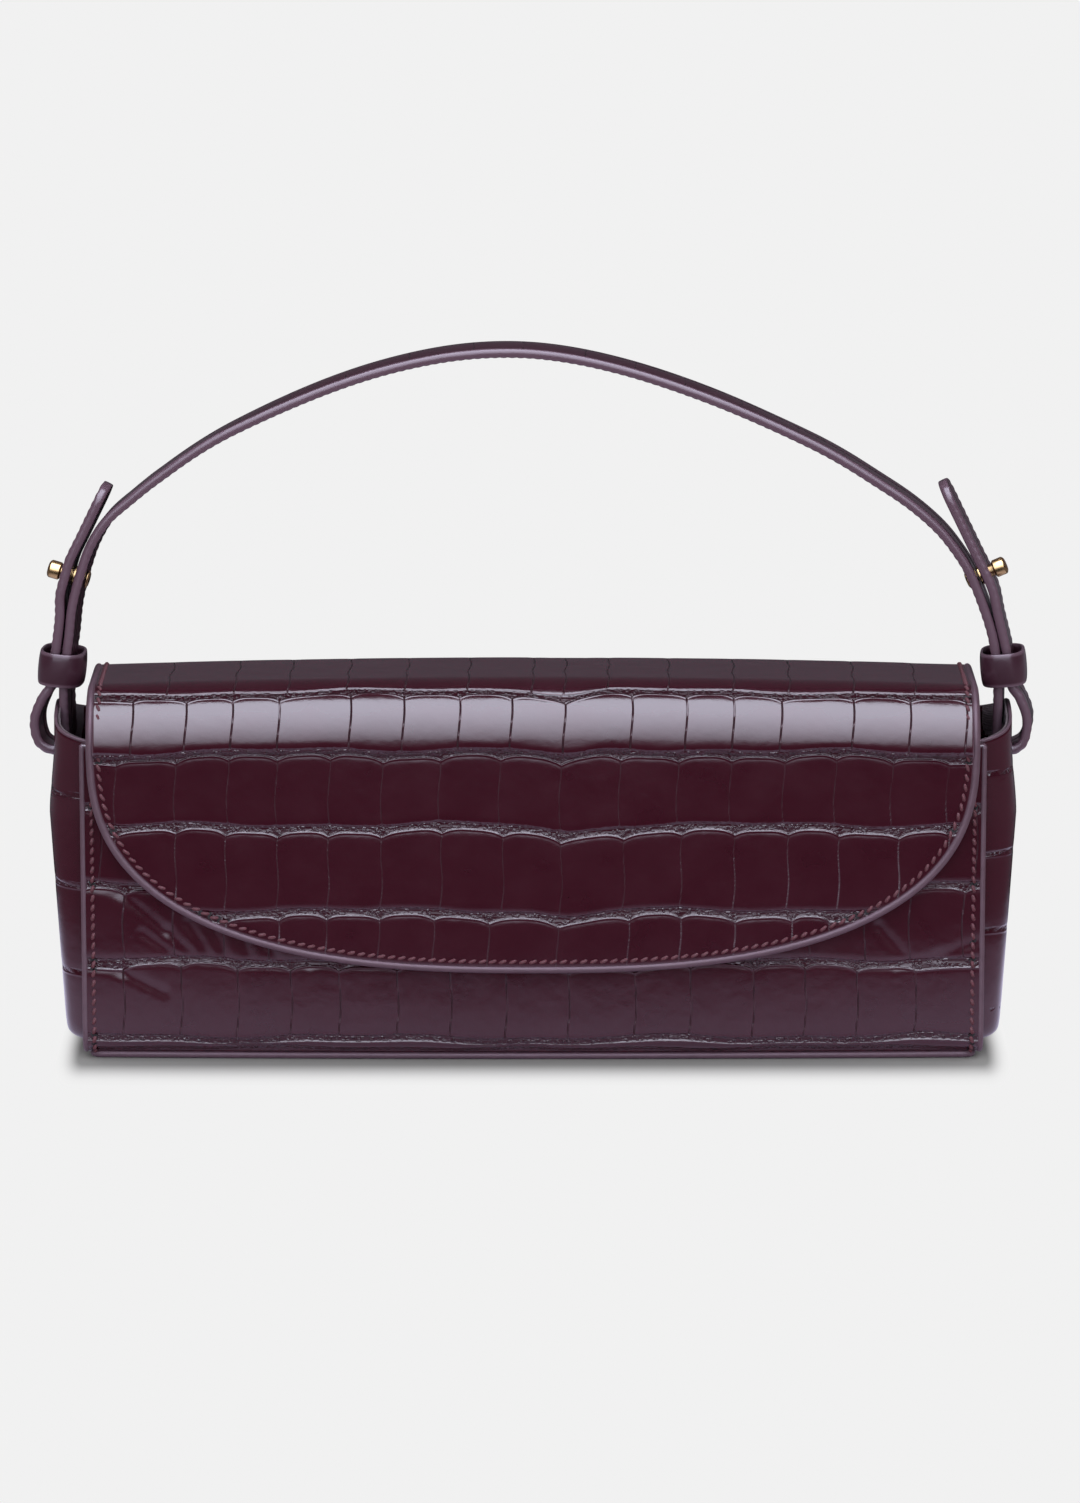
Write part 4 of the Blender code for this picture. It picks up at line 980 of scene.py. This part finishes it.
def emboss_gusset(gusset, side):
    """Raises the scales along the sheet's own facing, to a share of the walls' height and from a
    little under the surface, fading out on the flange."""
    places, normals = np.empty((2, len(gusset.data.vertices) * 3))
    gusset.data.vertices.foreach_get("co", places)
    gusset.data.vertices.foreach_get("normal", normals)
    places, normals = places.reshape(-1, 3), normals.reshape(-1, 3)
    across, down = places[:, 1] / MM, (0.098 - places[:, 2]) / MM
    height, marks = scale_relief(across, down, GUSSET_ROWS[side], 0, side, 0.45)
    fade = 1 - ramp(-np.abs(places[:, 0]), -SEAM_ROOT - 0.003, -SEAM_ROOT)
    raised = places + normals * ((height - GUSSET_SUNK) * GUSSET_EMBOSS * fade * MM)[:, None]
    gusset.data.vertices.foreach_set("co", raised.ravel())
    keep_tones(gusset, marks)


for side, word in SIDES:
    y, full = np.meshgrid(outline_y, gusset_shares)
    out, y, z = gusset_point(y, np.broadcast_to(outline_z, y.shape), full)
    flange = np.linspace(out[-1, 0], HALF_WIDTH - 0.0002, 6)[1:, None] + 0 * y[:1]
    out = np.concatenate([out, flange])
    y, z = (np.concatenate([grid, np.repeat(grid[-1:], 5, axis=0)]) for grid in (y, z))
    points = np.stack([side * out, y, z], axis=-1)
    faces = [grid_faces(*out.shape, flipped=side > 0)]
    gusset = new_mesh(word + "_gusset_leather", points, faces, PANEL_LEATHER)
    gusset.data.materials.append(EDGE_PAINT)
    weld(gusset)
    emboss_gusset(gusset, side)
    thicken_and_slot(gusset, side, GUSSET_LEATHER, -1)
    mouth = np.concatenate([points[35::-1, 0], points[1:36, -1]]) - [side * 0.0006, 0, 0.0003]
    bead = tube(word + "_gusset_mouth", mouth, MOUTH_BEAD_RADIUS)
    points = np.stack([side * (out[:34] - GUSSET_CLOTH_INSET), y[:34], z[:34]], axis=-1)[::3, ::4]
    faces = [grid_faces(*points.shape[:2], flipped=side > 0)]
    cloth = new_mesh(word + "_gusset_cloth", points, faces, TWILL)
    weld(cloth)
    thicken_and_slot(cloth, side, GUSSET_CLOTH, 0, 0.01)
    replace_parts(cloth, word + "_gusset_lining")
    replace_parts(gusset, word + "_gusset")
    for piece in (gusset, bead, cloth):
        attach(piece, "body")


# Strap: one belt of two leathers over a core, its edges painted. From its free tip it goes down
# outside the leg, round a loop, in at the gusset's slot and up into the arch, which is domed on top.
STRAP_YAW = math.radians(6.0)
ARCH_HEIGHT = 0.1175
LEG_SHARES = [(-1.0, 0.064), (-1.001, 0.137), (-0.998, 0.205), (-0.989, 0.275)]
ARCH_SHARES = [(-0.9795, 0.3615), (-0.9547, 0.464), (-0.9340, 0.520), (-0.9030, 0.572),
               (-0.8544, 0.621), (-0.7994, 0.671), (-0.641, 0.797), (-0.425, 0.917),
               (-0.210, 0.985), (-0.022, 1.0), (0.165, 0.967), (0.380, 0.886), (0.594, 0.764),
               (0.756, 0.649), (0.816, 0.601), (0.871, 0.545), (0.909, 0.491), (0.938, 0.437),
               (0.969, 0.350)]
STUD_Z = 0.1361
STUD_FLANGE_RADIUS = 0.0038
STUD_FLANGE = 0.0007
KEEPER_Z = 0.1102
KEEPER_HEIGHT = 0.0097
LEG_SPACING = STRAP_THICKNESS + 0.0004
LEGS_TOGETHER = 0.0100
LOOP_REACH = 0.0085
LOOP_SHARES = [(0.47, 1.0), (0.74, 0.81), (1.0, 0.47), (0.86, 0.12), (0.4, 0.0), (0.02, 0.16)]
TIP_LENGTH = 0.0237
TIP_LEAN = math.radians(26.0)
TIP_ROUND = 0.0060
ARCH_FROM = 0.168
ARCH_TO = 0.196
ARCH_CROWN = 0.0010
ARCH_LOWERED = 0.0022
CRIMP_DEPTH = 0.00022
CRIMP_PITCH = 0.0025


def smooth_path(points, steps):
    """A smooth curve through points: between each two runs a cubic, and its slope at a point is the
    slope from the point before it to the one after it."""
    points = np.asarray(points, float)
    marks = distances(points)
    before = np.clip(np.arange(len(points)) - 1, 0, None)
    after = np.clip(np.arange(len(points)) + 1, None, len(points) - 1)
    slopes = ((points[after] - points[before]) / (marks[after] - marks[before])[:, None])[:, None]
    share = (np.arange(1, steps + 1) / steps)[None, :, None]
    eased = ramp(share, 0, 1)
    bend = share * (1 - share) * ((1 - share) * slopes[:-1] - share * slopes[1:])
    curve = points[:-1, None] * (1 - eased) + points[1:, None] * eased
    curve = curve + bend * np.diff(marks)[:, None, None]
    return np.concatenate([points[:1], curve.reshape(-1, 3)])


def strap_points(shares):
    """Points of the strap's line in the middle plane, from shares of its half span and height."""
    shares = np.asarray(shares)
    return np.stack([shares[:, 0] * LEG_X, 0 * shares[:, 0], PIVOT_Z + shares[:, 1] * ARCH_HEIGHT], axis=1)


left_leg = strap_points(LEG_SHARES)
inner_run = np.concatenate([left_leg, strap_points(ARCH_SHARES), left_leg[::-1] * [-1, 1, 1]])
inner_path = smooth_path(inner_run, 2)


def at_height(z, side):
    """The inner leg's place and upward direction where it crosses a height on one side."""
    a, b = inner_path[1:-2], inner_path[2:-1]
    found = (a[:, 0] * side > 0) & (np.minimum(a[:, 2], b[:, 2]) <= z) & (z <= np.maximum(a[:, 2], b[:, 2]))
    i = np.nonzero(found)[0][0]
    share = (z - a[i, 2]) / (b[i, 2] - a[i, 2])
    way = unit((b[i] - inner_path[i]) * (1 - share) + (inner_path[i + 3] - a[i]) * share)
    return a[i] + (b[i] - a[i]) * share, way if way[2] > 0 else -way


def beside(z, side, distance):
    """A point outside the inner leg, square to it."""
    place, way = at_height(z, side)
    return place + np.array([side * way[2], 0, -side * way[0]]) * distance


def outer_leg(side):
    """Points from the free tip down the outer leg and round the loop."""
    stack = STRAP_THICKNESS + 2 * GAP + STUD_FLANGE
    grips = [beside(STUD_Z + STUD_FLANGE_RADIUS * up, side, stack) for up in (1.3, 0, -1.3)]
    tip_way = np.array([-side * math.sin(TIP_LEAN), 0, math.cos(TIP_LEAN)])
    top = KEEPER_Z + KEEPER_HEIGHT / 2
    foot = KEEPER_Z - KEEPER_HEIGHT / 2 - PIVOT_Z
    points = [grips[0] + tip_way * TIP_LENGTH * share for share in (1.0, 0.66, 0.33)] + grips
    points += [beside(top + LEGS_TOGETHER, side, LEG_SPACING), beside(top, side, LEG_SPACING)]
    return points + [np.array([side * (LEG_X + LOOP_REACH * across), 0, PIVOT_Z + foot * up])
                     for across, up in LOOP_SHARES]


strap_line = smooth_path(outer_leg(-1) + list(inner_run) + outer_leg(1)[::-1], 24)
strap_marks = distances(strap_line)
strap_length = strap_marks[-1]


def strap_frame(run):
    """The strap's middle, its width direction and its face direction along its run."""
    place, ahead, behind = (read_along(run + step, strap_marks, strap_line) for step in (0, 0.0008, -0.0008))
    way = unit(ahead - behind)
    yawed = (math.sin(STRAP_YAW) * np.abs(way[..., 2]), 0 * run + math.cos(STRAP_YAW), 0 * run)
    face = unit(np.cross(way, np.stack(yawed, axis=-1)))
    return place, np.cross(face, way), face


STRAP_LINES = scale_lines(-20, 41, 16.5)
STRAP_LINES = np.concatenate([STRAP_LINES, scale_lines(STRAP_LINES[-1], 42, 16.5)])


def strap_relief(run, v):
    """Height in mm of the strap's emboss: one long crease that wanders about the middle of the face,
    and cross creases about 16 mm apart, which differ on its two sides."""
    long_line = v - 0.8 - 0.9 * np.sin(run / 31) - 0.4 * np.sin(run / 9)
    shifted = run + np.where(long_line > 0, 6.0, 0.0) + 0.5 * np.sin(v / 2)
    right = np.clip(np.searchsorted(STRAP_LINES, shifted), 1, len(STRAP_LINES) - 1)
    near = np.minimum(np.abs(shifted - STRAP_LINES[right]), np.abs(shifted - STRAP_LINES[right - 1]))
    marks = np.stack([np.clip(np.abs(long_line) - 0.3, -2, 2), 0 * near, near, 0.22 + 0 * near], axis=-1)
    return -0.12 * np.exp(-long_line ** 2), marks


# the same calf, greyer and less polished, with near black painted shade in its creases
STRAP_LEATHER = finish_leather("polished_calf_strap", "3f2130", "1c0a12", "63495a", 0.32, 0.08, 0.8)
# the strap's section, point by point: its share of the half width, of the round edge's swell beyond
# that and of the half thickness, and 1 on an edge
face_steps = np.linspace(-1, 1, 25)
edge_turn = np.linspace(0, math.pi, 9)[1:-1]
width_share = np.concatenate([face_steps, np.ones(7), -face_steps, -np.ones(7)])
swell = np.concatenate([0 * face_steps, np.sin(edge_turn), 0 * face_steps, -np.sin(edge_turn)])
lift = np.concatenate([0 * face_steps + 1, np.cos(edge_turn), 0 * face_steps - 1, -np.cos(edge_turn)])
is_edge = np.concatenate([0 * face_steps, 0 * edge_turn + 1, 0 * face_steps, 0 * edge_turn + 1])
is_face = 1 - is_edge
facing_side = np.where(lift > 0, 1, -1)
half_thick = STRAP_THICKNESS / 2
edge_swell = half_thick * 0.75

ends = 0.5 - 0.5 * np.cos(np.linspace(0, math.pi / 2, 14))
tip_runs = TIP_ROUND * ends / ends[-1]
middle_runs = np.linspace(TIP_ROUND, strap_length - TIP_ROUND, 1000)
runs = np.concatenate([tip_runs[:-1], middle_runs, (strap_length - tip_runs)[::-1][1:]])
tip = np.clip(np.minimum(runs, strap_length - runs) / TIP_ROUND, 0, 1)
half_width = (STRAP_WIDTH / 2 - edge_swell) * np.sqrt(np.clip(1 - (1 - tip) ** 2, 0.0004, 1))
place, across, facing = strap_frame(runs)
offset = half_width[:, None] * width_share + edge_swell * swell
face_height, face_marks = strap_relief((runs / MM)[:, None] + 0 * offset, offset / MM * facing_side)
arch = ramp(place[:, 2], ARCH_FROM, ARCH_TO)
crown = ARCH_CROWN * (1 - (offset / half_width.max()) ** 2).clip(0, 1) * (lift > 0)
crimp = CRIMP_DEPTH * np.abs(np.sin(runs * math.pi / CRIMP_PITCH))[:, None] * is_edge * (lift < -0.3)
thick = half_thick * lift + face_height * MM * is_face * facing_side - crimp
thick = thick + arch[:, None] * (crown - ARCH_LOWERED)
points = place[:, None] + across[:, None] * offset[..., None] + facing[:, None] * thick[..., None]
strap = new_mesh("strap", points, skin(points), STRAP_LEATHER)
plain = np.array(PLAIN_MARKS[:EMBOSS_MARKS])
face_marks = face_marks * is_face[:, None] + plain * is_edge[:, None]
keep_tones(strap, np.concatenate([face_marks, (0 * offset + is_edge)[..., None]], axis=-1))
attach(strap, "handle")
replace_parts(strap, "handle_outer_leather", "handle_core", "handle_inner_leather")


# Keepers: a band of plain strap leather round both legs, its ends joined on the far side, with
# painted edges above and below.
KEEPER_WALL = 0.0015
KEEPER_INNER_X = 0.0100
KEEPER_INNER_Y = 0.0152
KEEPER_OVAL_POWER = 2.8
KEEPER_BAND = 0.0011
KEEPER_RISE = KEEPER_HEIGHT / 2


def superellipse(half_x, half_y, power, count):
    """A superellipse's points, evenly spaced."""
    turn = np.linspace(0, 2 * math.pi, 721)
    way = np.stack([np.cos(turn), np.sin(turn)], axis=1)
    return even_loop(np.sign(way) * np.abs(way) ** (2 / power) * [half_x, half_y], count)


def drawn_square(value, power):
    """A share between -1 and 1, drawn towards the ends by a power under 1."""
    return np.sign(value) * np.abs(value) ** power


keeper_inset = KEEPER_WALL - KEEPER_BAND / 2
for side, word in SIDES:
    inner, way = at_height(KEEPER_Z, side)
    place = (inner + beside(KEEPER_Z, side, LEG_SPACING)) / 2
    across = np.array([math.sin(STRAP_YAW), math.cos(STRAP_YAW), 0])
    out = np.array([side * way[2], 0, -side * way[0]])
    out = unit(out - across * (out @ across))
    flat = superellipse(KEEPER_INNER_X / 2 + keeper_inset, KEEPER_INNER_Y / 2 + keeper_inset,
                        KEEPER_OVAL_POWER, 96)
    tangent = np.roll(flat, -1, axis=0) - np.roll(flat, 1, axis=0)
    normal = unit(np.stack([tangent[:, 1], -tangent[:, 0]], axis=1))
    rise = drawn_square(np.sin(around(40)), 0.75) * KEEPER_RISE
    domed = 1 + 0.35 * (1 - (rise / KEEPER_RISE) ** 2)
    bulge = drawn_square(np.cos(around(40)), 0.35) * KEEPER_BAND / 2 * domed
    ring = flat[:, None] + normal[:, None] * bulge[None, :, None]
    points = place + ring[..., :1] * out + ring[..., 1:] * across + rise[None, :, None] * way
    band = new_mesh(word + "_keeper_band", points, skin(points, looped=True), STRAP_LEATHER)
    marks = np.zeros(points.shape[:2] + (len(MARKS),)) + PLAIN_MARKS
    marks[..., -1] = ramp(np.abs(rise), KEEPER_RISE - 0.0011, KEEPER_RISE - 0.0005)
    keep_tones(band, marks)
    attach(band, word + "_keeper")
    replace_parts(band, word + "_keeper")


# Studs: turned brass buttons with a flange and a neck, each screwed on from the strap's inner face.
# The flange and the screw's head are drawn a little smaller than the solids'.
SHOWN_FLANGE_RADIUS = STUD_FLANGE_RADIUS - 0.0009
STUD_NECK_RADIUS = 0.0018
STUD_HEAD_RADIUS = 0.0026
STUD_HEAD = 0.0038
SCREW_HEAD_RADIUS = 0.0027
SCREW_HEAD = 0.0007
TIP_PLAY = 0.0008
CORNER_CUT = 0.00012
ON_AXIS = 0.0001
# turned brass has a warm, soft shine, cloudy from handling
BRASS = finish_plain("turned_brass", "c9a877", 0.27, 1.0, per_mm=0.5, spread=0.12, depth=0.01)


def turned(name, outline, side):
    """A part turned from (radius, height) points about the stud's axis, which is square to the inner
    leg; each corner of its outline is cut back a little."""
    outline = np.array(outline)
    ways = np.diff(outline, axis=0)
    cuts = np.minimum(CORNER_CUT, 0.3 * np.linalg.norm(ways, axis=1))[:, None] * unit(ways)
    corners, before, after = outline[1:-1], cuts[:-1], cuts[1:]
    blunted = (corners - before, corners - 0.25 * before + 0.25 * after, corners + after)
    rounded = np.stack(blunted, axis=1)
    outline = np.concatenate([outline[:1], rounded.reshape(-1, 2), outline[-1:]])
    inner, up = at_height(STUD_Z, side)
    out = unit(np.cross([math.sin(STRAP_YAW) * abs(up[2]), math.cos(STRAP_YAW), 0], up))
    out *= np.sign(out[0] * side)
    turn = around(40)[:, None]
    round_way = np.cos(turn) * np.cross(out, up) + np.sin(turn) * up
    points = inner + outline[:, None, :1] * round_way + outline[:, None, 1:] * out
    part = new_mesh(name, points, skin(points), BRASS)
    part.data.set_sharp_from_angle(angle=math.radians(50))
    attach(part, "handle")
    return part


seat = STRAP_THICKNESS / 2 + GAP
flange_top = seat + STUD_FLANGE
head_start = flange_top + STRAP_THICKNESS + GAP + TIP_PLAY
head_top = head_start + STUD_HEAD
button_outline = [
    (ON_AXIS, seat), (SHOWN_FLANGE_RADIUS, seat), (SHOWN_FLANGE_RADIUS, flange_top),
    (STUD_NECK_RADIUS, flange_top), (STUD_NECK_RADIUS, head_start),
    (STUD_HEAD_RADIUS - 0.0004, head_start), (STUD_HEAD_RADIUS, head_start + 0.0004),
    (STUD_HEAD_RADIUS, head_top - 0.0007), (STUD_HEAD_RADIUS - 0.0003, head_top - 0.0003),
    (STUD_HEAD_RADIUS - 0.0009, head_top), (ON_AXIS, head_top)]
screw_outline = [
    (ON_AXIS, -seat - SCREW_HEAD), (SCREW_HEAD_RADIUS - 0.0008, -seat - SCREW_HEAD),
    (SCREW_HEAD_RADIUS, -seat - SCREW_HEAD / 3), (SCREW_HEAD_RADIUS, -seat), (ON_AXIS, -seat)]
for side, word in SIDES:
    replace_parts(turned(word + "_stud_button", button_outline, side), word + "_stud")
    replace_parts(turned(word + "_screw_head", screw_outline, side), word + "_stud_screw")


# Boards and magnets: fibreboard stiffeners and steel-cased magnets, hidden between leather and lining.
# Their solids are shown as they are, in a material of their own.
# pressed fibre is dull and short in the grain; zinc plate has a cool, cloudy shine
FIBRE_BOARD = finish_plain("pressed_fibre_board", "8a7a68", 0.85, per_mm=0.7, spread=0.25, stretch=(1, 3, 3))
STEEL = finish_plain("zinc_plated_steel", "9a9a9e", 0.35, 1.0, per_mm=0.9, spread=0.12, depth=0.01)
for name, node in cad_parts.items():
    if name.endswith("_board"):
        node.material_slots[0].material = FIBRE_BOARD
    if name.endswith("_magnet"):
        node.material_slots[0].material = STEEL
